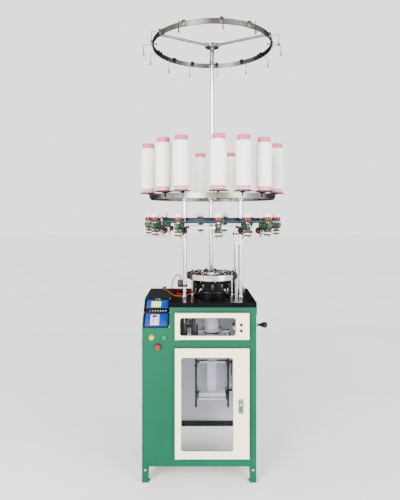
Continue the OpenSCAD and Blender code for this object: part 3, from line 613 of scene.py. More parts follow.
class KNIT_OT_camera(bpy.types.Operator):
    """Sets the camera at standing height before the machine"""

    bl_idname = "knit.camera"
    bl_label = "Camera"

    def execute(self, context):
        lens = bpy.data.cameras.new("camera")
        lens.lens = 32.04
        lens.sensor_width = 36
        lens.shift_x, lens.shift_y = 0.006, -0.072
        camera = bpy.data.objects.new("camera", lens)
        camera.location = (-0.09075, -2.686, 1.478)
        camera.rotation_euler = (math.pi / 2, 0, 0)
        context.scene.collection.objects.link(camera)
        context.scene.camera = camera
        return {"FINISHED"}


RED_HOSE = (
    (-185, -60, 1087), (-185.2, -59.5, 1094), (-186.3, -57.1, 1102),
    (-189.9, -49.1, 1110.5), (-196, -36, 1114.3), (-205, -16, 1113), (-220, 20, 1101),
    (-236, 60, 1073), (-245, 95, 1040), (-249, 125, 1012), (-249, 150, 997),
    (-245, 174, 993), (-231, 191, 993), (-211, 191, 993), (-197, 177, 993),
    (-194, 155, 993), (-200, 127, 993), (-207, 98, 993), (-212, 66, 993), (-212, 38, 993),
    (-207, 22, 993), (-195.5, 12.7, 993), (-180.5, 12, 993), (-168, 20.5, 993.5),
    (-162, 35, 995), (-159.5, 49, 998), (-151, 60, 1001.5), (-138, 65, 1004.5),
    (-123, 62, 1006), (-106.55, 53.28, 1006))
TAN_HOSE = (
    (-113.37, -36.18, 1006), (-127, -40.5, 1005.5), (-142, -45.5, 1001), (-158, -50.5, 996),
    (-176, -54.5, 993), (-196, -54, 993), (-214, -44, 993), (-228, -26, 993),
    (-238, -3, 993), (-248, 27, 993), (-258, 60, 993), (-268, 95, 993),
    (-278, 130, 993), (-289, 165, 993), (-299, 190, 994), (-303, 206, 996))


class KNIT_OT_hoses(bpy.types.Operator):
    """Lays the two rubber hoses that run to the cam box"""

    bl_idname = "knit.hoses"
    bl_label = "Hoses"

    def lay(self, name, route, finish, node, length):
        line = bpy.data.curves.new(name, "CURVE")
        line.dimensions = "3D"
        line.bevel_depth = sizes().hose_diameter / 2
        line.bevel_resolution = 5
        line.resolution_u = 10
        line.use_fill_caps = True
        spline = line.splines.new("BEZIER")
        spline.bezier_points.add(len(route) - 1)
        for point, at in zip(spline.bezier_points, route):
            point.co = Vector(at) * MM
            point.handle_left_type = point.handle_right_type = "AUTO"
        line.materials.append(finish_named(finish))
        hose = bpy.data.objects.new(name, line)
        bpy.context.scene.collection.objects.link(hose)
        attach(hose, "frame")
        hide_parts(node)

    def execute(self, context):
        self.lay("red_hose", RED_HOSE, "red_hose", "hose_red", 0.66)
        self.lay("tan_hose", TAN_HOSE, "tan_hose", "hose_tan", 0.375)
        return {"FINISHED"}


# ---------------------------------------------------------------- cabinet

class KNIT_OT_cabinet(bpy.types.Operator):
    """Finishes the cabinet, its legs and the table plate"""

    bl_idname = "knit.cabinet"
    bl_label = "Cabinet"

    def execute(self, context):
        coat("green_coat", "front_frame", "side_panels", "legs")
        coat("grey_coat", "inner_panels")
        coat("enamel", "table_plate")
        right, back = corner("side_panels", 1).x, corner("inner_panels", 1).y
        left, front = corner("front_frame", 0).x, corner("front_frame", 0).y
        back = 238.5
        top = corner("table_plate", 1).z
        trim = Work("nickel", "black_plastic", "dark_steel", "green_coat", "green_painted_shade")
        if sizes().with_screws:
            for z in (112, 330, 560, 780, 900):
                for y in (-216, 216):
                    trim.screw((right, y, z), "X", 4.5, 0, 2.2)
            for z in (112, 330, 560, 780):
                for y in (-216, 216):
                    trim.screw((left, y, z), "-X", 4.5, 0, 2.2)
            for x in (left + 12, -232, 0, right - 12):
                for z in (140, 420, 700, 930):
                    trim.screw((x, back, z), "Y", 4.5, 0, 2.2)
        # cooling slots pressed into the column's back; the blackened-steel block under each louvre
        # is painted shade standing in for the dark opening
        for k in range(9):
            z = 420 + k * 26
            trim.block((left + 28, back - 1, z), (left + 124, back + 3.5, z + 12), 2, 3)
            trim.block((left + 27, back - 1, z + 8), (left + 125, back + 5.5, z + 15), 3, 2.5)
        # levelling feet: stud, nut and pad beside each leg's flanges
        for x in (left + 24, right - 24):
            for y in (front + 24, back - 24):
                trim.turn([(0, 0.3), (17, 0.3), (17, 5), (9, 11), (6, 14), (6, 84), (0, 84)],
                          2, (x, y, 0), steps=24)
                trim.turn([(0, 60), (11, 60), (12, 62), (12, 70), (11, 72), (0, 72)],
                          0, (x, y, 0), steps=6)
        for x in (left + 19, right - 19):
            trim.screw((x, front - 3, 72), "-Y", 6.5, 0, 3.5)
        # rubber strip under the table's front edge
        trim.block((-240, front - 1.6, top - 27.5), (right, front + 1, top - 25), 1, 0.6)
        # painted shade: a near-black face on the rail across the back, inside the cabinet, and a
        # dark sheet on the column's top stand in for the shade those faces show
        trim.block((left + 3, 225.2, 89.6), (right - 3, 227, 126.4), 4, 0.4)
        trim.block((left + 2, -103, 989.8), (-241, back - 2, 990.5), 4, 0.3)
        trim.done("cabinet_trim", "frame")
        gland = Work("black_plastic")
        x = (corner("motor", 0).x + corner("motor", 1).x) / 2
        gland.turn([(6.5, 249), (12, 249), (15, 251), (15.5, 256), (12, 260), (6.5, 260),
                    (6.5, 249)], 0, (x, 0, 200), "Y", 24)
        gland.done("mains_gland_ring", "frame")
        return {"FINISHED"}


def console_place():
    """The console's own frame: X across, Y up the slope, Z outwards."""
    return (Matrix.Translation((corner("console_frame", 0).x, -238.5, 851))
            @ Matrix.Rotation(math.radians(45.94), 4, "X"))


class KNIT_OT_console(bpy.types.Operator):
    """Builds the console's overlay, display, keypad and keys"""

    bl_idname = "knit.console"
    bl_label = "Console"

    def execute(self, context):
        coat("console_black", "console_frame")
        face = Work("console_black", "console_blue", "key_grey", "display", "display_dark",
                    "key_red", "key_amber", "key_lime", "ceramic")
        face.place = console_place()
        # raised rim and the bar between the two overlays
        for low, high in (((0, 0), (13, 193)), ((135, 0), (148, 193)), ((0, 0), (148, 9)),
                          ((0, 178), (148, 193)), ((0, 89), (148, 125))):
            face.block((*low, -1), (*high, 2.6), 0, 1.2)
        face.block((12, 124, -1), (136, 179, 1.0), 1, 0.4)
        face.block((12, 8, -1), (136, 90, 1.0), 1, 0.4)
        face.plate(rounded((38, 129), (98, 172), 3), 0.5, 2.6, 1)
        face.plate(rounded((41, 131.5), (95, 169.5), 2), 0.5, 3.0, 3)
        for k in range(7):
            x = 36.5 + k * 14.6
            lens = (5, 7, 6, 6, 2, 2, 2)[k]
            face.turn([(4.4, 2), (4.4, 3.4), (3.6, 3.8), (3.6, 2)], 0, (x, 107, 0), steps=20)
            face.turn([(0, 4.2), (2.4, 4.0), (3.4, 3.4), (3.4, 2)], lens, (x, 107, 0), steps=20)
        # keypad unit with its small display
        face.block((42, 16, 0), (91, 81, 8), 2, 3.0, steps=3)
        face.block((44.5, 18.5, 7), (88.5, 78.5, 9), 2, 1.6)
        face.block((51, 62.5, 8), (78, 75, 9.6), 0, 1.0)
        face.block((52.5, 64, 8.6), (76.5, 73.5, 9.9), 4, 0.4)
        for row in range(4):
            for column in range(4):
                x, y = 48 + column * 9.6, 22 + row * 9.8
                lens = 5 if row < 2 and column != 2 else (8, 0, 8, 5)[column]
                face.block((x, y, 8.6), (x + 7, y + 6.2, 10.6), lens, 1.0)
        for x in (62, 76, 84):
            face.block((x, 184, 2.2), (x + 5, 187, 3.0), 2, 0.4)
        if sizes().with_screws:
            for x in (2.9, 145):
                for y in (4, 97, 189):
                    face.turn([(0, 3.1), (1.5, 3.0), (1.9, 2.5)], 2, (x, y, 0), steps=12)
        face.done("console_face", "frame", stands_for=("console_instruments",))
        return {"FINISHED"}


class KNIT_OT_buttons(bpy.types.Operator):
    """Finishes the push buttons and fits their bezels"""

    bl_idname = "knit.buttons"
    bl_label = "Buttons"

    def execute(self, context):
        rings = Work("yellow_button", "green_button", "dark_steel")
        deep = 3.5
        for k, colour in enumerate(("yellow", "green", "red")):
            node = "button_" + colour
            coat(colour + "_button", node)
            low, high = corner(node, 0), corner(node, 1)
            x, z, r = (low.x + high.x) / 2, (low.z + high.z) / 2, (high.x - low.x) / 2
            rings.turn([(r + 0.5, 0.2), (r + 3.4, 0.2), (r + 3.4, -0.8), (r + 2.6, 0.4 - deep),
                        (r + 1.8, -deep), (r + 0.9, 0.3 - deep), (r + 0.5, 1 - deep),
                        (r + 0.5, 0.2)], k, (x, -238.5, z), "Y", 40)
        rings.done("button_bezels", "frame")
        return {"FINISHED"}


# ---------------------------------------------------------------- doors

def window_strip(work, low, high, r, width, back, front, finish):
    """A strip round a window, on the door's face."""
    outer = rounded((low[0] - width, low[1] - width), (high[0] + width, high[1] + width),
                    r + width)
    inner = rounded(low, high, r)
    n = len(outer)
    points = [(x, y, z) for y in (back, front) for ring in (outer, inner) for x, z in ring]
    faces = []
    for i in range(n):
        j = (i + 1) % n
        faces += [(2 * n + i, 2 * n + j, 3 * n + j, 3 * n + i), (i, j, 2 * n + j, 2 * n + i),
                  (n + i, n + j, 3 * n + j, 3 * n + i), (i, j, n + j, n + i)]
    work.take(points, faces, finish)


class KNIT_OT_doors(bpy.types.Operator):
    """Finishes both doors with their windows, locks, latch and pivots"""

    bl_idname = "knit.doors"
    bl_label = "Doors"

    def execute(self, context):
        coat("ivory_coat", "upper_door", "lower_door")
        coat("glass", "upper_window", "lower_window")
        coat("dark_steel", "upper_locks")
        coat("steel", "door_pivots")
        coat("iron", "lower_latch")
        face = corner("upper_door", 0).y
        upper = Work("belt", "ivory_coat", "nickel", "black_plastic")
        window_strip(upper, (-183, 814), (120, 909), 12, 1.6, face + 3, face - 0.8, 0)
        upper.plate(rounded((139, 813), (167, 894), 4), face - 1.4, face + 1, 1, UPRIGHT)
        for z in (840, 873):
            upper.turn([(8.2, -2.6), (9.2, -2.4), (9.8, -1.4), (9.8, 0), (8.2, 0), (8.2, -2.6)], 2,
                       (151, face - 1, z), "Y", 32)
            upper.block((150.2, face - 4.8, z - 3.6), (151.8, face - 3.8, z + 3.6), 3, 0.2)
        upper.done("upper_door_trim", "upper_door")
        # painted shadow: thin black strips on the frame, round the edges of the closed doors,
        # stand in for the shadow in the gap behind them
        gap_shadow = Work("belt")
        for z0, z1 in ((791, 935), (139, 741)):
            window_strip(gap_shadow, (-210, z0 + 1), (194, z1 - 1), 3, 6, -238.4, -239.3, 0)
        gap_shadow.done("door_gap_painted_shadows", "frame")
        lower = Work("belt", "nickel")
        window_strip(lower, (-176, 184), (106, 691), 12, 1.6, face + 3, face - 0.8, 0)
        lower.done("lower_door_trim", "lower_door")
        latch = Work("dark_steel", "nickel")
        front = corner("lower_latch", 0).y
        latch.turn([(0, -3.2), (4.5, -3.0), (8.2, -1.8), (9, 0), (9, 2)], 1,
                   (148.5, front, 440), "Y", 28)
        latch.block((147.6, front - 3.6, 436), (149.4, front - 2.6, 444), 0, 0.2)
        for z in (396.5, 461.5):
            latch.turn([(0, -1.6), (2.6, -1.2), (3.6, 0), (3.6, 1)], 1,
                       (148.5, front, z), "Y", 16)
        latch.done("latch_trim", "lower_latch")
        return {"FINISHED"}


# ---------------------------------------------------------------- drive and crank

class KNIT_OT_drive(bpy.types.Operator):
    """Finishes the motor, belt, shafts, gears and housings"""

    bl_idname = "knit.drive"
    bl_label = "Drive"

    def execute(self, context):
        coat("motor_coat", "motor")
        coat("steel", "motor_pulley", "pinion_shaft")
        coat("belt", "drive_belt")
        coat("grey_coat", "bearing_housings", "cylinder_gear")
        coat("chrome", "feeder_shaft")
        ends = Work("nickel", "dark_steel")
        x = (corner("feeder_shaft", 0).x + corner("feeder_shaft", 1).x) / 2
        top = corner("feeder_shaft", 1).z
        ends.screw((x, 0, top), "Z", 6, 1, 4)
        ends.done("feeder_shaft_screw", "feeder_shaft")
        return {"FINISHED"}


class KNIT_OT_crank(bpy.types.Operator):
    """Finishes the crank and its grip"""

    bl_idname = "knit.crank"
    bl_label = "Crank"

    def execute(self, context):
        coat("black_iron", "crank")
        coat("black_plastic", "crank_grip")
        low, high = corner("crank_grip", 0), corner("crank_grip", 1)
        y, z = (low.y + high.y) / 2, (low.z + high.z) / 2
        trim = Work("nickel", "black_iron")
        trim.screw((252, 0, z), "X", 8, 0, 4)
        trim.turn([(5.2, 250), (9, 250), (9.6, 251), (9, 254.6), (5.2, 254.6), (5.2, 250)],
                  0, (0, y, z), "X", 28)
        trim.done("crank_trim", "crank")
        cap = Work("nickel")
        cap.turn([(6.2, high.x - 0.6), (5.8, high.x + 0.6), (4, high.x + 1.2),
                  (0, high.x + 1.4)], 0, (0, y, z), "X", 24)
        cap.done("grip_cap", "crank_grip")
        return {"FINISHED"}


# ---------------------------------------------------------------- knitting head

class KNIT_OT_knitting_head(bpy.types.Operator):
    """Builds the detail of the cam box, cylinder, carrier ring and sinker cap"""

    bl_idname = "knit.knitting_head"
    bl_label = "Knitting head"

    def execute(self, context):
        coat("drum_enamel", "cam_box")
        coat("sleeve_coat", "needle_cylinder")
        coat("chrome", "needles")
        coat("nickel", "carrier_ring")
        coat("black_iron", "yarn_fingers")
        r, top = 111, corner("cam_box", 1).z
        drum = Work("nickel", "enamel", "brass", "dark_steel", "steel")
        for k in range(12):
            # cam slide with its adjusting screw in each pocket of the drum
            drum.place = around(30 * k, r)
            drum.block((-4.6, -7.5, 1032), (0.5, 7.5, 1068), 3, 1.0)
            drum.block((-1, -3.5, 1040), (2.6, 3.5, 1060), 3, 0.8)
            drum.screw((2.4, 0, 1050), "X", 3.2, 3, 2.6)
            drum.screw((0.4, 0, 1036), "X", 2.2, 3, 1.6)
            drum.screw((0.4, 0, 1064), "X", 2.2, 0, 1.6)
        for k in range(sizes().drum_screws):
            drum.place = around(k * 360 / sizes().drum_screws + 7, r)
            drum.screw((-0.6, 0, top - 8), "X", 2.6, 0 if k % 3 == 0 else 3, 1.8)
            if k % 2:
                drum.screw((-0.6, 0, 1012), "X", 3.0, 3, 2)
        drum.place = Matrix.Identity(4)
        drum.turn([(r - 2, top - 2.5), (r + 1.2, top - 2.5), (r + 1.6, top - 1.5),
                   (r + 1.2, top + 0.6), (r - 2, top + 0.6), (r - 2, top - 2.5)], 4, steps=96)
        drum.turn([(r - 1, 1020), (r + 0.8, 1020), (r + 1.2, 1021.5), (r + 0.8, 1023),
                   (r - 1, 1023), (r - 1, 1020)], 3, steps=96)
        # stitch levers: short bright arms with a knob, at the front of the drum
        for angle, tilt in ((38, 1), (52, -1), (322, -1), (300, 1), (130, 1), (215, -1)):
            drum.place = around(angle, r)
            drum.turn([(0, 0), (6, 0), (6, 3), (4.4, 4), (4.4, 7), (0, 7)], 0,
                      (0, 0, 1036), "X", 20)
            drum.wire([(5, 0, 1036), (7, 3 * tilt, 1030), (8, 8 * tilt, 1022),
                       (8.5, 12 * tilt, 1016)], [2.2, 1.9, 1.6, 1.6], 0)
            drum.turn([(0, -3.4), (2.6, -2.4), (3.4, 0), (2.6, 2.4), (0, 3.4)], 3,
                      (8.5, 12 * tilt, 1014), "Z", 16)
        drum.done("cam_box_fittings", "frame")

        ring = Work("nickel", "black_iron", "ceramic", "dark_steel", "brass", "feeder_maroon")
        z = 1125
        for k in range(30):
            ring.place = around(k * 12 + 4, 0)
            if 84 < k * 12 + 4 < 97:
                continue
            ring.screw((149.3, 0, z), "Z", 2.4, 1 if k % 2 else 3, 2.2)
        for k, angle in enumerate(FEEDERS):
            # yarn carrier: clamp block, bent guide wire and its ceramic eye
            ring.place = around(angle + 4, 0)
            ring.block((126, -6, 1112), (146, 6, 1127), 1, 1.5)
            ring.block((131, -8, 1127), (143, 8, 1132), 3, 1.2)
            ring.screw((137, 0, 1132), "Z", 3.2, 0, 2.6)
            ring.wire([(128, 0, 1124), (112, 1, 1134), (92, 2, 1137), (76, 2, 1133),
                       (66, 1, 1128)], 1.3, 0)
            ring.wire([(66 + 3 * math.cos(a), 1, 1127 + 3 * math.sin(a))
                       for a in (i * math.pi / 6 for i in range(12))], 1.1, 2, 8, True)
            tilt = (k % 3 - 1) * 9
            ring.wire([(140, 5, 1130), (142, 6 + tilt * 0.4, 1139), (143, 6 + tilt, 1147)],
                      [1.6, 1.4, 1.2], 1)
            ring.place = around(angle + 18, 0)
            ring.block((118, -4, 1113), (134, 4, 1121), 1, 1.0)
            ring.turn([(0, 1119), (3.4, 1119), (3.4, 1124), (2, 1126), (0, 1126)], 4,
                      (124, 0, 0), steps=16)
        ring.place = Matrix.Identity(4)
        for k in range(96):
            # sinkers: thin blades side by side on the cap
            ring.place = around(k * 3.75, 0)
            if abs(k * 3.75 - 90) < 9:
                continue
            ring.block((60, -0.5, 1119.5), (88, 0.5, 1122.5 if k % 2 else 1121.8), 3, 0.2, steps=1)
        ring.done("carrier_fittings", "frame")

        bases = Work("chrome", "dark_steel")
        for angle in PILLARS:
            bases.place = around(angle, 118)
            bases.turn([(6.6, 1080), (9.5, 1080), (10, 1081), (10, 1089), (9.5, 1090),
                        (6.6, 1090), (6.6, 1080)], 1, steps=28)
            bases.turn([(6.6, 990), (9, 990), (9, 994), (8, 996), (6.6, 996), (6.6, 990)],
                       0, steps=28)
        for angle in POSTS:
            bases.place = around(angle, 188)
            bases.turn([(11.1, 990), (17, 990), (17.5, 991), (17.5, 996), (15, 999),
                        (13, 1004), (11.1, 1004), (11.1, 990)], 0, steps=36)
            for k in range(3):
                keep = bases.place
                bases.place = keep @ Matrix.Rotation(k * 2.094, 4, "Z")
                bases.screw((14.4, 0, 996), "Z", 1.8, 1, 1.6)
                bases.place = keep
        bases.done("post_bases", "frame")
        return {"FINISHED"}


class KNIT_OT_table_fittings(bpy.types.Operator):
    """Builds the sensor boxes, hose unions and block, oil bottles and oil cup"""

    bl_idname = "knit.table_fittings"
    bl_label = "Table fittings"

    def execute(self, context):
        box = Work("black_plastic", "dark_steel", "brass", "nickel", "key_red", "glass")
        box.block((-205, -80, 1049), (-165, -40, 1087), 0, 2.5, steps=3)
        box.block((-203, -82, 1052), (-167, -79, 1084), 0, 1.5)
        for x in (-200, -170):
            for z in (1055, 1081):
                box.screw((x, -82, z), "-Y", 1.9, 1, 1.2)
        box.turn([(0, 2.2), (2, 1.8), (2.6, 0)], 4, (-185, -83.8, 1068), "Y", 16)
        # clamp on the post
        box.place = around(300, 188)
        box.turn([(11.1, 1056), (16, 1056), (17, 1057), (17, 1067), (16, 1068), (11.1, 1068),
                  (11.1, 1056)], 1, steps=32)
        box.place = Matrix.Identity(4)
        box.block((-178, -88, 1057), (-158, -79, 1067), 1, 1.5)
        box.block((124, 32, 990), (148, 70, 1088), 0, 2.5, steps=3)
        for z in (1000, 1078):
            box.screw((136, 32, z), "-Y", 2.4, 3, 1.6)
        # hose unions: hexagon and collar at both ends of each hose
        box.turn([(3.2, 1086), (6.5, 1086), (6.5, 1092), (5, 1093.5), (5, 1096), (3.2, 1096),
                  (3.2, 1086)], 2, (-185, -60, 0), "Z", 6)
        for angle in (243.4, 287.7):
            box.place = around(angle, 0)
            box.turn([(3.2, 112), (7, 112), (7, 117), (5.4, 118.5), (5.4, 124), (3.2, 124),
                      (3.2, 112)], 2, (0, 0, 1006), "X", 12)
        # block where the tan hose ends, on top of the column
        box.place = Matrix.Identity(4)
        box.block((-314, 206, 990), (-292, 228, 1004), 0, 2.5, steps=3)
        box.turn([(3.2, 200), (5.6, 200), (6, 201), (6, 206), (3.2, 206), (3.2, 200)], 2,
                 (-303, 0, 996), "Y", 20)
        for x, y in ((-309, 212), (-297, 222)):
            box.screw((x, y, 1004), "Z", 2.2, 3, 1.4)
        # oil bottles under the table, each with a bright nickel strip down its front: a painted
        # highlight where the gloss shows a reflected line
        for x, tube in ((-166, 5), (-105, 12)):
            box.turn([(0, 785), (17, 785), (20, 788), (20, 846), (17, 853), (17, 950),
                      (14, 953), (9, 954), (9, 965), (0, 965)], 0, (x, -150, 0), steps=36)
            y = -150 - math.sqrt(17 ** 2 - tube ** 2) - 1.4
            # painted highlight: a nickel strip standing in for the bottle's reflection
            box.turn([(0, 858), (2.2, 858), (2.2, 946), (0, 946)], 3, (x + tube, y, 0), steps=14)
            box.turn([(17, 938), (18, 938.4), (18, 941.6), (17, 942)], 3, (x, -150, 0), steps=36)
        # oil cup: brass foot, glass and knurled lid
        box.place = Matrix.Translation((204, 163, 0))
        box.turn([(0, 990), (13, 990), (13, 995), (9, 996.5), (9, 998), (0, 998)], 2, steps=32)
        box.turn([(0, 997), (10, 997), (10, 1006), (0, 1006)], 5, steps=32)
        box.turn([(0, 1006), (10.6, 1006), (10.6, 1010), (8, 1012), (0, 1012)], 3, steps=24)
        box.done("table_fitting_set", "frame", stands_for=("table_fittings",))
        return {"FINISHED"}


# ---------------------------------------------------------------- take-down and fabric

TUBE_SECTIONS = ((1108, 41, 41), (960, 38, 38), (765, 34, 22), (590, 29, 4.5),
                 (425, 27.5, 1.9), (361, 27, 1.9))


class KNIT_OT_takedown(bpy.types.Operator):
    """Finishes the take-down frame and its rollers"""

    bl_idname = "knit.takedown"
    bl_label = "Take-down"

    def execute(self, context):
        coat("dark_steel", "takedown_frame")
        coat("pale_rubber_and_painted_light", "roller_front", "roller_rear")
        trim = Work("nickel", "dark_steel", "pale_rubber_and_painted_light")
        # painted light: a pale skin on the turning ring's top and outside and on its crossbar's
        # front brightens that dark steel
        trim.turn([(41, 790.2), (41, 791), (62.8, 791), (63.2, 790.4), (63.2, 779), (62.2, 778.8),
                   (62.2, 790.2), (41, 790.2)], 2, steps=72)
        trim.block((-102, -10.9, 765.4), (102, -10.1, 779.6), 2, 0.3)
        # painted light: pale strips on the front faces only of the two crossbars, their lit side
        trim.block((-76, -14.8, 581.6), (80, -13.6, 594.4), 2, 0.5)
        trim.block((-82.8, -34.6, 369.6), (82.8, -33.6, 380.4), 2, 0.4)
        for s in (-1, 1):
            for z in (372, 420):
                for y in (-24, 24):
                    trim.screw((s * 88, y, z), "X" if s > 0 else "-X", 3.6, 0, 2.4)
            trim.turn([(6.2, 560), (9, 560), (9, 572), (6.2, 572), (6.2, 560)], 1,
                      (s * 97, 0, 0), steps=24)
            trim.turn([(6.1, 742), (10, 742), (11, 744), (11, 764), (6.1, 764), (6.1, 742)], 0,
                      (s * 97, 0, 0), steps=24)
            trim.screw((s * 97, 0, 780), "Z", 5, 1, 4)
        # tension spring's coils on their core
        trim.wire([(116 + 5 * math.cos(t), 5 * math.sin(t), 421 + 160 * t / (40 * 2 * math.pi))
                   for t in (i * math.pi / 6 for i in range(481))], 1.1, 0, 5)
        trim.done("takedown_fittings", "cylinder")
        for s, body in ((-1, "front_roller"), (1, "rear_roller")):
            ribs = Work("pale_rubber_and_painted_light", "nickel")
            y, z = s * 16.5, 396
            for x in (-80, 80):
                ribs.turn([(5.2, x - 1.4), (12, x - 1.4), (12.6, x), (12, x + 1.4),
                           (5.2, x + 1.4), (5.2, x - 1.4)], 1, (0, y, z), "X", 28)
            for k in range(18):
                ribs.place = (Matrix.Translation((0, y, z))
                              @ Matrix.Rotation(k * math.pi / 9, 4, "X"))
                ribs.block((-77, -0.6, 13.6), (77, 0.6, 14.3), 0, 0.2, steps=1)
            ribs.done(body + "_ribs", body)
        return {"FINISHED"}


class KNIT_OT_fabric(bpy.types.Operator):
    """Hangs the knitted tube from the needles to the take-down rollers"""

    bl_idname = "knit.fabric"
    bl_label = "Fabric"

    def section(self, z):
        """Half width and half depth of the tube at a height."""
        for (z0, a0, b0), (z1, a1, b1) in zip(TUBE_SECTIONS, TUBE_SECTIONS[1:]):
            if z >= z1:
                t = (z0 - z) / (z0 - z1)
                s = t * t * (3 - 2 * t)
                return a0 + (a1 - a0) * s, b0 + (b1 - b0) * s
        return a1, b1

    def execute(self, context):
        around_steps, rows, wales = 192, 150, 48
        shape = bmesh.new()
        layer = shape.loops.layers.uv.new("knit")
        rings = []
        for inner in (0, 1):
            for i in range(rows + 1):
                z = 1106 - (1106 - 361) * i / rows
                a, b = self.section(z)
                gather = 0.35 * math.sin(z / 23) if z > 600 else 0.0
                ring = []
                for k in range(around_steps):
                    t = 2 * math.pi * k / around_steps
                    rib = 0.22 * math.cos(t * wales) * (0.4 if inner else 1.0)
                    x = (a + rib + gather - inner * 0.9) * math.cos(t)
                    y = (max(b, 0.9) + rib * min(1, b / 8) - inner * min(0.9, b * 0.4)) \
                        * math.sin(t)
                    ring.append(shape.verts.new((x * MM, y * MM, z * MM)))
                rings.append(ring)
        outer, inner = rings[:rows + 1], rings[rows + 1:]
        courses = 745 / 4.5

        def quad(four, uvs):
            face = shape.faces.new(four)
            face.smooth = True
            for loop, (u, v) in zip(face.loops, uvs):
                loop[layer].uv = (u, v)

        for skin, turned in ((outer, False), (inner, True)):
            for i in range(rows):
                for k in range(around_steps):
                    j = (k + 1) % around_steps
                    u0, u1 = k * wales / around_steps, (k + 1) * wales / around_steps
                    v0, v1 = -i * courses / rows, -(i + 1) * courses / rows
                    four = [skin[i][k], skin[i + 1][k], skin[i + 1][j], skin[i][j]]
                    uvs = [(u0, v0), (u0, v1), (u1, v1), (u1, v0)]
                    if turned:
                        four.reverse()
                        uvs.reverse()
                    quad(four, uvs)
        for i in (0, rows):
            for k in range(around_steps):
                j = (k + 1) % around_steps
                quad([outer[i][k], outer[i][j], inner[i][j], inner[i][k]],
                     [(0, 0), (1, 0), (1, 0.2), (0, 0.2)])
        bmesh.ops.recalc_face_normals(shape, faces=shape.faces[:])
        data = bpy.data.meshes.new("knitted_tube")
        shape.to_mesh(data)
        shape.free()
        data.materials.append(finish_named("knit"))
        tube = bpy.data.objects.new("knitted_tube", data)
        bpy.context.scene.collection.objects.link(tube)
        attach(tube, "cylinder")
        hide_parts("fabric_tube")
        return {"FINISHED"}


# ---------------------------------------------------------------- tower and feeders

class KNIT_OT_tower(bpy.types.Operator):
    """Finishes the posts, the feeder ring and the ring lamp"""

    bl_idname = "knit.tower"
    bl_label = "Tower"

    def execute(self, context):
        coat("chrome", "posts")
        coat("blue_coat", "feeder_ring")
        coat("lamp", "ring_lamp")
        trim = Work("nickel", "dark_steel", "chrome", "black_plastic")
        for angle in POSTS:
            trim.place = around(angle, 188)
            for z0 in (1428, 1394):
                trim.turn([(11.1, z0 - 2), (14, z0 - 2), (14, z0 - 0.2), (11.1, z0 - 0.2),
                           (11.1, z0 - 2)], 2, steps=32)
            for y in (-1, 1):
                trim.screw((0, y * 18, 1441), "Y" if y > 0 else "-Y", 4, 1, 3)
            trim.turn([(11.1, 1556), (15, 1556), (15.5, 1557), (15.5, 1566), (11.1, 1566),
                       (11.1, 1556)], 2, steps=32)
        for k in range(24):
            trim.place = around(k * 15 + 7.5, 0)
            trim.screw((332, 0, 1441), "X", 3.2, 1, 2)
            trim.screw((318, 0, 1441), "-X", 3.2, 0, 2)
        trim.place = Matrix.Identity(4)
        for k in range(3):
            # lamp's end caps
            trim.place = around(60 + 120 * k, 154)
            trim.turn([(9.1, -7), (10.2, -6), (10.2, 6), (9.1, 7)], 3, (0, 0, 1400), "Y", 32)
        trim.done("tower_fittings", "frame")
        return {"FINISHED"}


def coil(centre, axis, r, length, turns):
    """Path of a small coil spring."""
    lay = Matrix.Translation(centre) @ LAY[axis]
    n = int(turns * 10)
    return [lay @ Vector((r * math.cos(i * math.pi / 5), r * math.sin(i * math.pi / 5),
                          length * i / n)) for i in range(n + 1)]


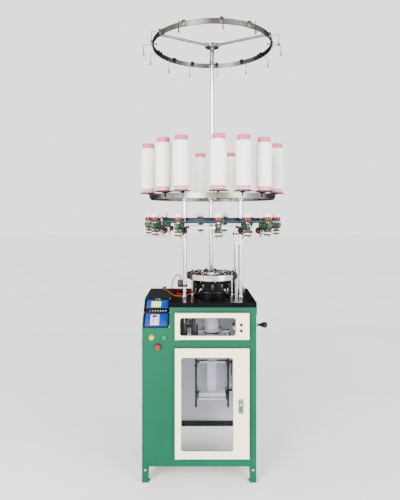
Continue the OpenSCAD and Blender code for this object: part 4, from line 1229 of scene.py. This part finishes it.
class KNIT_OT_feeder_bodies(bpy.types.Operator):
    """Builds the yarn feeders' fixed housings with their levers, drums and guides"""

    bl_idname = "knit.feeder_bodies"
    bl_label = "Feeder bodies"

    def housing(self, body, spare):
        """One housing along +X from the ring outwards."""
        # bracket on the ring, and the green casting that holds the spindle
        body.block((332, -13, 1426), (354, 13, 1452), 0, 3, steps=3)
        body.block((335, -11, 1450), (352, 11, 1453.5), 3, 1.2)
        body.screw((343, 0, 1453), "Z", 4, 4, 2.6)
        outline = (arc((394, 0), 15, -90, 90, 12)
                   + [(372, 14.5), (350, 13.5), (334, 11), (329, 7), (329, -7), (334, -11),
                      (350, -13.5), (372, -14.5)])
        for z0, z1, grow in ((1409, 1427, 0), (1404, 1409, -1.2), (1427, 1428.6, -1.6)):
            body.plate([(370 + (x - 370) * (1 + grow / 40), y * (1 + grow / 15))
                        for x, y in outline], z0, z1, 0)
        body.plate([(370 + (x - 370) * 0.86, y * 0.86) for x, y in outline], 1393, 1404.5, 1)
        body.turn([(4.6, 1426), (12, 1426), (12.5, 1427), (12.5, 1429.5), (9, 1431),
                   (4.6, 1431), (4.6, 1426)], 4, (382, 0, 0), steps=28)
        for x, y in ((352, 9), (352, -9), (398, 0)):
            body.screw((x, y, 1428.4), "Z", 2.6, 4, 1.8)
        # side cover with its two screws
        body.block((345, -16, 1411), (372, -13, 1425), 3, 1.2)
        for x in (349, 368):
            body.screw((x, -16, 1418), "-Y", 1.9, 4, 1.2)
        if spare:
            return
        # maroon drum of the yarn brake, with face plate, dial and knob
        body.turn([(0, 308.6), (4, 308.2), (6.5, 309), (7, 311), (11, 311.6), (15.5, 312.4),
                   (17, 314), (17, 324), (15.6, 326.5), (8, 328.5), (0, 328.5)], 2,
                  (0, 0, 1386), "X", 36)
        for k in range(8):
            a = k * math.pi / 4
            body.block((309.6, 12.6 * math.cos(a) - 1.3, 1386 + 12.6 * math.sin(a) - 1.3),
                       (313, 12.6 * math.cos(a) + 1.3, 1386 + 12.6 * math.sin(a) + 1.3), 4, 0.4,
                       steps=1)
        body.block((323, -5, 1388), (336, 5, 1400), 1, 1.5)
        # stop lever with its red tell-tale, and the dark forked levers below
        body.wire([(346, 9, 1395), (346, 10, 1380), (341, 11, 1368), (330, 11, 1358),
                   (322, 10, 1350)], [2.6, 2.4, 2.2, 2.0, 1.7], 5)
        body.wire([(336, -9, 1395), (338, -10, 1378), (346, -11, 1366), (353, -10, 1352)],
                  [2.6, 2.3, 2.0, 1.7], 5)
        body.wire([(330, 3, 1372), (336, -2, 1358), (344, -6, 1346), (348, -7, 1339)],
                  [2.2, 1.9, 1.7, 1.5], 4)
        body.turn([(0, -3), (2.4, -2), (3, 0), (2.4, 2), (0, 3)], 6, (321, 10, 1348), "Y", 16)
        body.block((327, -6.5, 1366), (334, 6.5, 1373), 1, 1.5)
        body.wire(coil((332, -6, 1378), "Y", 2.6, 13, sizes().spring_turns), 0.6, 4, 5)
        # yarn inlet: post, ceramic eye and two tension discs beside the wheel
        body.wire([(352, 13, 1416), (352, 24, 1418), (354, 27, 1428), (356, 27, 1462),
                   (360, 27, 1476)], 1.5, 4)
        body.wire([(362 + 3.4 * math.cos(a), 27, 1478 + 3.4 * math.sin(a))
                   for a in (i * math.pi / 6 for i in range(12))], 1.3, 7, 6, True)
        body.turn([(0, -1.8), (5, -1.6), (7, -0.5), (7, 0.5), (5, 1.6), (0, 1.8)], 4,
                  (355, 27, 1444), "Y", 24)
        body.wire(coil((355, 28, 1444), "Y", 2.2, 6, 4), 0.6, 4, 5)
        # yarn outlet: bent arm with its ceramic eye under the wheel
        body.wire([(376, 14, 1408), (380, 19, 1400), (386, 22, 1376), (384, 20, 1358),
                   (378, 12, 1352)], 1.5, 5)
        body.wire([(376, 10 + 3.4 * math.cos(a), 1351 + 3.4 * math.sin(a))
                   for a in (i * math.pi / 6 for i in range(12))], 1.2, 7, 6, True)
        # lamp lens on the front of the casting
        body.turn([(0, 412.4), (2.2, 411.8), (3.2, 410), (3.2, 407)], 6, (0, 0, 1416), "X", 16)
        body.turn([(3.4, 407), (5, 407), (5, 410), (3.4, 410), (3.4, 407)], 4,
                  (0, 0, 1416), "X", 20)

    def execute(self, context):
        finishes = ("feeder_green", "black_plastic", "feeder_maroon", "feeder_green", "nickel",
                    "dark_steel", "key_red", "ceramic")
        for k, angle in enumerate(FEEDERS):
            body = Work(*finishes)
            body.place = around(angle, 0)
            self.housing(body, False)
            body.done("feeder_body_%d" % (k + 1), "frame", stands_for=("feeder_bodies",))
        body = Work(*finishes)
        body.place = around(TAPE_WHEEL, 0)
        self.housing(body, True)
        body.done("tape_wheel_bracket", "frame", stands_for=("feeder_bodies",))
        return {"FINISHED"}


class KNIT_OT_feeder_wheels(bpy.types.Operator):
    """Builds the feeders' wheels: white clutch wheel, red tape wheel and ribbed yarn wheel"""

    bl_idname = "knit.feeder_wheels"
    bl_label = "Feeder wheels"

    def execute(self, context):
        for k, angle in enumerate(FEEDERS):
            wheel = Work("feeder_red", "feeder_white", "nickel", "feeder_beige", "dark_steel",
                         "yarn_wrap")
            wheel.place = around(angle, FEEDER_R)
            wheel.turn([(0, 1360), (4, 1360), (4, 1484), (2.6, 1486), (0, 1486)], 2, steps=20)
            wheel.turn([(4, 1433.5), (22.4, 1433.5), (23, 1434.1), (23, 1434.6), (22.2, 1435),
                        (22.2, 1442), (23, 1442.5), (23, 1443.5), (22.4, 1444.2),
                        (4, 1444.2), (4, 1433.5)], 4, steps=48)
            wheel.turn([(4, 1444.2), (22.2, 1444.2), (23, 1445.2), (23, 1457.6), (22.2, 1459),
                        (15, 1459.4), (4, 1459.4), (4, 1444.2)], 0, steps=48)
            wheel.turn([(4, 1461.4), (21, 1461.4), (22.8, 1462.4), (23, 1464), (23, 1479),
                        (22.2, 1481.4), (20.4, 1482), (17.6, 1481.6), (17, 1478.6), (8, 1478),
                        (7.4, 1482.6), (4, 1483), (4, 1461.4)], 1, steps=48)
            for n in range(6):
                # clutch dogs on the white wheel's face, and pins in the red one
                a = n * math.pi / 3
                x, y = 12.4 * math.cos(a), 12.4 * math.sin(a)
                wheel.turn([(0, 1477), (2.8, 1477), (2.8, 1480.6), (1.8, 1481.4), (0, 1481.4)],
                           4, (x, y, 0), steps=12)
                x, y = 19 * math.cos(a + 0.5), 19 * math.sin(a + 0.5)
                wheel.turn([(0, 1459), (1.8, 1459), (1.8, 1462), (0, 1462)], 2, (x, y, 0),
                           steps=10)
            wheel.turn([(4, 1429.5), (9.4, 1429.5), (10, 1430.2), (10, 1433), (4, 1433.4),
                        (4, 1429.5)], 2, steps=28)
            # yarn wheel: hub discs with round pins that carry the yarn
            wheel.turn([(4, 1383.4), (18.6, 1383.4), (19.8, 1384.4), (19.8, 1386.4),
                        (17, 1387.6), (9.4, 1388.4), (8.8, 1391.6), (4, 1392), (4, 1383.4)],
                       3, steps=40)
            wheel.turn([(0, 1360), (15, 1360), (19.2, 1361), (19.8, 1362), (19.8, 1364.6),
                        (16, 1366), (0, 1366)], 3, steps=40)
            for n in range(sizes().wheel_ribs):
                a = n * 2 * math.pi / sizes().wheel_ribs
                wheel.turn([(1.5, 1363), (1.5, 1385)], 3,
                           (17.2 * math.cos(a), 17.2 * math.sin(a), 0), steps=10)
            wheel.turn([(14, 1364), (14, 1385)], 3, steps=28)
            wheel.turn([(18.2, 1370), (19.1, 1370.6), (19.4, 1373), (19.1, 1376), (18.2, 1376.6),
                        (18.2, 1370)], 5, steps=40)
            name = "feeder_wheel_%d" % (k + 1)
            wheel.done("wheel_set_%d" % (k + 1), name, stands_for=(name,))
        coat("feeder_red", "tape_wheel")
        cap = Work("nickel", "feeder_white")
        cap.place = around(TAPE_WHEEL, FEEDER_R)
        cap.turn([(4.2, 1459.2), (12, 1459.2), (12, 1463), (9, 1464.6), (4.2, 1464.6),
                  (4.2, 1459.2)], 1, steps=32)
        cap.turn([(0, 1467), (5.4, 1467), (5.4, 1470), (4.4, 1471), (0, 1471)], 0, steps=6)
        cap.done("tape_wheel_cap", "tape_wheel")
        return {"FINISHED"}


def loop_round(centres, radii):
    """Outline of a belt round wheels given in order, anticlockwise."""
    path = []
    n = len(centres)
    bounds = []
    for i in range(n):
        (x0, y0), (x1, y1) = centres[i], centres[(i + 1) % n]
        r0, r1 = radii[i], radii[(i + 1) % n]
        d = math.hypot(x1 - x0, y1 - y0)
        normal = math.atan2(y1 - y0, x1 - x0) - math.acos((r0 - r1) / d)
        bounds.append(normal)
    for i in range(n):
        start, end = bounds[i - 1], bounds[i]
        while end < start:
            end += 2 * math.pi
        steps = max(2, int((end - start) / 0.12) + 1)
        path += [(centres[i][0] + radii[i] * math.cos(start + (end - start) * s / steps),
                  centres[i][1] + radii[i] * math.sin(start + (end - start) * s / steps))
                 for s in range(steps + 1)]
    return path


class KNIT_OT_belts(bpy.types.Operator):
    """Runs the woven tape round the feeder wheels, and the belt that drives it"""

    bl_idname = "knit.belts"
    bl_label = "Tape and belt"

    def run(self, work, centres, radii, thick, low, high, finish):
        outer = loop_round(centres, [r + thick for r in radii])
        inner = loop_round(centres, radii)
        n = min(len(outer), len(inner))
        points = [(x, y, z) for z in (low, high) for ring in (outer[:n], inner[:n])
                  for x, y in ring]
        faces = []
        for i in range(n):
            j = (i + 1) % n
            faces += [(i, j, 2 * n + j, 2 * n + i), (n + j, n + i, 3 * n + i, 3 * n + j),
                      (i, n + i, n + j, j), (2 * n + i, 2 * n + j, 3 * n + j, 3 * n + i)]
        work.take(points, faces, finish)

    def execute(self, context):
        order = sorted(list(FEEDERS) + [TAPE_WHEEL])
        spots = [(FEEDER_R * math.sin(math.radians(a)), -FEEDER_R * math.cos(math.radians(a)))
                 for a in order]
        tape = Work("tape", "belt")
        self.run(tape, spots, [23.4] * len(spots), 1.1, 1435, 1442, 0)
        a = math.radians(TAPE_WHEEL)
        wheel = (FEEDER_R * math.sin(a), -FEEDER_R * math.cos(a))
        self.run(tape, [(146, 0), wheel], [20.2, 16.2], 1.5, 1353, 1363, 1)
        tape.done("tape_and_belt", "frame", stands_for=("feeder_belts",))
        return {"FINISHED"}


# ---------------------------------------------------------------- creel

class KNIT_OT_creel(bpy.types.Operator):
    """Builds the creel: band, hub, spokes, package plates and spindles"""

    bl_idname = "knit.creel"
    bl_label = "Creel"

    def execute(self, context):
        creel = Work("ring_steel", "dark_steel", "nickel", "black_plastic")
        creel.turn([(364.5, 1562.6), (365.1, 1562), (368.9, 1562), (369.5, 1562.6),
                    (369.5, 1591.4), (368.9, 1592), (365.1, 1592), (364.5, 1591.4),
                    (364.5, 1562.6)], 0, steps=160)
        creel.turn([(0, 1562), (43, 1562), (46, 1564), (46, 1588), (44, 1591), (34, 1592),
                    (0, 1592)], 0, steps=56)
        for angle in POSTS:
            creel.place = around(angle, 0)
            creel.block((42, -7, 1567), (364.6, 7, 1589), 0, 1.5)
            creel.screw((186, 0, 1589), "Z", 6.5, 1, 3)
            for y in (-1, 1):
                creel.screw((34, y * 14, 1592), "Z", 3.6, 1, 3)
            creel.screw((369.5, 0, 1578), "X", 4, 1, 2.6)
        for angle in PACKAGES:
            creel.place = around(angle, 0)
            # clamp in two halves round the band, with its bolts
            creel.block((369.5, -5, 1570), (376, 5, 1598), 1, 1.2)
            creel.block((356, -5, 1570), (364.5, 5, 1598), 1, 1.2)
            creel.block((352, -5, 1592.1), (388, 5, 1598), 1, 1.0)
            for z in (1575, 1586):
                creel.screw((376, 0, z), "X", 3, 2, 2)
            keep = creel.place
            creel.place = keep @ Matrix.Translation((PACKAGE_R, 0, 0))
            creel.turn([(0, 1598), (50, 1598), (52, 1598.8), (52, 1601), (51, 1602),
                        (47.5, 1602), (46.5, 1601.2), (0, 1601.2)], 1, steps=56)
            creel.turn([(0, 1601), (13, 1601), (13, 1606), (9, 1608), (9, 1716), (7, 1721),
                        (0, 1722)], 2, steps=28)
        creel.done("creel", "frame", stands_for=("creel_ring",))
        return {"FINISHED"}


class KNIT_OT_packages(bpy.types.Operator):
    """Winds the yarn packages on their paper tubes"""

    bl_idname = "knit.packages"
    bl_label = "Yarn packages"

    def execute(self, context):
        coat("tube", "yarn_tubes")
        bottom, top = corner("yarn_packages", 0).z, corner("yarn_packages", 1).z
        tube_top = corner("yarn_tubes", 1).z
        dice = random.Random(5)
        for k, angle in enumerate(PACKAGES):
            pack = Work("yarn", "tube", "paper_dark")
            pack.place = around(angle, PACKAGE_R)
            lean = dice.uniform(-0.25, 0.25)
            profile = [(35.15, bottom)]
            for i in range(13):
                t = i / 12
                profile.append((35.2 + 8.2 * math.sin(t * math.pi / 2) ** 0.8,
                                bottom + 1 + 11 * t * t))
            for i in range(1, 30):
                t = i / 30
                profile.append((43.5 + 0.22 * math.sin(i * 1.7 + k) + lean * 0.4 * t,
                                bottom + 13 + (top - bottom - 26) * t))
            for i in range(13):
                t = 1 - i / 12
                profile.append((35.2 + 8.2 * math.sin(t * math.pi / 2) ** 0.8,
                                top - 1 - 11 * t * t))
            profile.append((35.15, top))
            pack.turn(profile, 0, steps=64)
            # rolled rim of the tube and the transfer tail wound low on it
            pack.turn([(31.2, tube_top - 3), (30.9, tube_top - 0.4), (32, tube_top + 0.9),
                       (34, tube_top + 1.1), (35.5, tube_top + 0.2), (35.7, tube_top - 2.4),
                       (35.1, tube_top - 4)], 1, steps=48)
            pack.turn([(35.1, bottom - 12), (35.9, bottom - 11.2), (35.9, bottom - 8.6),
                       (35.1, bottom - 8)], 0, steps=40)
            pack.wire([(36 * math.cos(t), 36 * math.sin(t), bottom - 9 + t * 1.6)
                       for t in (i * 0.2 for i in range(32))], 0.6, 0, 5)
            centre = pack.place @ Vector((0, 0, (bottom + top) / 2))
            pack.done("package_%d" % (k + 1), "frame", origin=centre,
                      stands_for=("yarn_packages",))
        return {"FINISHED"}


# ---------------------------------------------------------------- top ring

class KNIT_OT_top_ring(bpy.types.Operator):
    """Finishes the top ring and builds its yarn guides"""

    bl_idname = "knit.top_ring"
    bl_label = "Top ring and guides"

    def execute(self, context):
        coat("ring_steel", "top_ring")
        hub = Work("ring_steel", "dark_steel", "nickel")
        hub.turn([(0, 2505), (10, 2504.6), (24, 2502.6), (34, 2499.6), (40.5, 2498),
                  (42, 2496.5), (42.2, 2490), (41.6, 2484), (39, 2481.2), (26, 2479.5),
                  (13, 2478.6), (13, 2474), (12.6, 2474)], 0, steps=64)
        for k in range(6):
            hub.place = Matrix.Rotation(math.radians(30 + 60 * k), 4, "Z")
            hub.screw((32, 0, 2480.4), "Z", 3.4, 1, 0.5)
        for angle in POSTS:
            hub.place = around(angle, 0)
            hub.turn([(7.2, 36), (11, 38), (11, 46), (9, 52), (7.2, 54)], 0,
                     (0, 0, 2490), "X", 28)
            hub.turn([(7.2, 340), (10, 342), (10.5, 352), (7.2, 353)], 0,
                     (0, 0, 2490), "X", 28)
            hub.screw((358, 0, 2490), "X", 5, 1, 3)
        hub.done("top_hub", "frame")
        for k, angle in enumerate(GUIDES):
            guide = Work("ring_steel", "black_iron", "dark_steel", "dark_steel")
            guide.place = around(angle, 0)
            guide.block((358, -9, 2479), (364.5, 9, 2511), 0, 1.5, steps=3)
            guide.block((347.5, -9, 2479), (353.5, 9, 2511), 1, 1.2)
            guide.block((347.5, -9, 2505.2), (364.5, 9, 2511), 0, 1.4)
            # thumb screw inside the ring, and the bolt outside
            guide.turn([(0, 330), (5.2, 330), (6, 331), (6, 335.6), (5, 337), (2.6, 338),
                        (2.6, 347.5)], 1, (0, 0, 2494), "X", 14)
            guide.screw((364.5, 0, 2500), "X", 3.4, 1, 2.4)
            bend = 7
            path = [(364, 0, 2490), (380, 0, 2490), (411 - bend, 0, 2490)]
            path += [(411 - bend + bend * math.sin(t), 0, 2490 - bend + bend * math.cos(t))
                     for t in (i * math.pi / 12 for i in range(1, 7))]
            path += [(411, 0, 2460), (411, 0, 2443)]
            guide.wire(path, 1.7, 1, 10)
            guide.turn([(0, 2446), (2.9, 2445), (3.2, 2442), (2.6, 2438), (0, 2437)], 3,
                       (411, 0, 0), steps=16)
            guide.wire([(411 + 6 * math.cos(a), 0, 2431 + 6 * math.sin(a))
                        for a in (i * math.pi / 9 for i in range(18))], 2.3, 2, 10, True)
            guide.done("yarn_guide_%d" % (k + 1), "frame", stands_for=("yarn_hooks",))
        return {"FINISHED"}


# ---------------------------------------------------------------- stage

class KNIT_OT_stage(bpy.types.Operator):
    """Lays the studio floor and hangs the soft boxes"""

    bl_idname = "knit.stage"
    bl_label = "Stage"

    def soft_box(self, name, at, target, size, power, tone):
        light = bpy.data.lights.new(name, "AREA")
        light.shape = "RECTANGLE"
        light.size, light.size_y = size
        light.energy = power
        light.color = tone
        lamp = bpy.data.objects.new(name, light)
        lamp.location = at
        lamp.rotation_euler = (Vector(target) - Vector(at)).to_track_quat("-Z", "Y").to_euler()
        bpy.context.scene.collection.objects.link(lamp)

    def execute(self, context):
        colours = context.scene.knitting.colours
        data = bpy.data.meshes.new("studio_floor")
        edge = 30.0
        n = 64
        points = [(edge * math.cos(2 * math.pi * k / n), edge * math.sin(2 * math.pi * k / n),
                   -0.0005) for k in range(n)]
        data.from_pydata(points, [], [tuple(range(n))])
        floor = bpy.data.objects.new("studio_floor", data)
        bpy.context.scene.collection.objects.link(floor)
        finish, tree, shader, place = start_finish("painted_studio_floor", "#F2F2F0", 0.75)
        vary(tree, shader, place, "#F2F2F0", "#ECECEA", 1.5)
        data.materials.append(finish)

        world = bpy.data.worlds.new("studio_air")
        context.scene.world = world
        world.use_nodes = True
        back = world.node_tree.nodes["Background"]
        back.inputs["Color"].default_value = linear("#FFFFFF")
        back.inputs["Strength"].default_value = 2.1
        # Dark flags behind and beside the machine are seen only in its gloss: they give the
        # chrome its dark edges. The one overhead keeps its tops darker than its sides.
        flag_finish = start_finish("black_flag_cloth", "#0C0C0D", 0.9)[0]
        walls = [(name, [(x0, y0, 0), (x1, y1, 0), (x1, y1, 3.9), (x0, y0, 3.9)])
                 for name, x0, y0, x1, y1 in (("rear_flag", -3.2, 3, 3.2, 3),
                                              ("left_flag", -3.2, 0.5, -3.2, 3),
                                              ("right_flag", 3.2, 0.5, 3.2, 3))]
        walls.append(("top_flag", [(1.7 * math.cos(k * math.pi / 24),
                                    1.7 * math.sin(k * math.pi / 24), 3.0) for k in range(48)]))
        for name, points in walls:
            cloth = bpy.data.meshes.new(name)
            cloth.from_pydata(points, [], [tuple(range(len(points)))])
            cloth.materials.append(flag_finish)
            flag = bpy.data.objects.new(name, cloth)
            flag.visible_camera = False
            flag.visible_diffuse = flag.visible_shadow = name == "top_flag"
            bpy.context.scene.collection.objects.link(flag)
        tone = tuple(colours.light_tone)
        power = colours.light_power
        self.soft_box("key_box", (-2.3, -3.7, 2.4), (0, 0, 1.3), (2.2, 2.6), power, tone)
        self.soft_box("fill_box", (3.0, -3.3, 2.0), (0, 0, 1.2), (2.0, 3.0), power * 0.6, tone)
        return {"FINISHED"}


# ---------------------------------------------------------------- panel and running

MAKERS = (KNIT_OT_camera, KNIT_OT_hoses, KNIT_OT_cabinet, KNIT_OT_console, KNIT_OT_buttons,
          KNIT_OT_doors, KNIT_OT_drive, KNIT_OT_crank, KNIT_OT_knitting_head,
          KNIT_OT_table_fittings, KNIT_OT_takedown, KNIT_OT_fabric, KNIT_OT_tower,
          KNIT_OT_feeder_bodies, KNIT_OT_feeder_wheels, KNIT_OT_belts, KNIT_OT_creel,
          KNIT_OT_packages, KNIT_OT_top_ring, KNIT_OT_stage)


class KNIT_PT_machine(bpy.types.Panel):
    """Lists the machine's makers and settings"""

    bl_label = "Knitting machine"
    bl_idname = "KNIT_PT_machine"
    bl_space_type = "VIEW_3D"
    bl_region_type = "UI"
    bl_category = "Knitting"

    def draw(self, context):
        settings = context.scene.knitting
        for group in (settings.sizes, settings.colours):
            for name in group.__annotations__:
                self.layout.prop(group, name)
        for maker in MAKERS:
            self.layout.operator(maker.bl_idname)


CLASSES = (KnittingSizes, KnittingColours, KnittingSettings, *MAKERS, KNIT_PT_machine)


def register():
    for made in CLASSES:
        bpy.utils.register_class(made)
    bpy.types.Scene.knitting = PointerProperty(type=KnittingSettings)


def unregister():
    del bpy.types.Scene.knitting
    for made in reversed(CLASSES):
        bpy.utils.unregister_class(made)


def main():
    register()
    for maker in MAKERS:
        group, name = maker.bl_idname.split(".")
        getattr(getattr(bpy.ops, group), name)()
    bpy.context.view_layer.update()


if __name__ == "__main__":
    main()
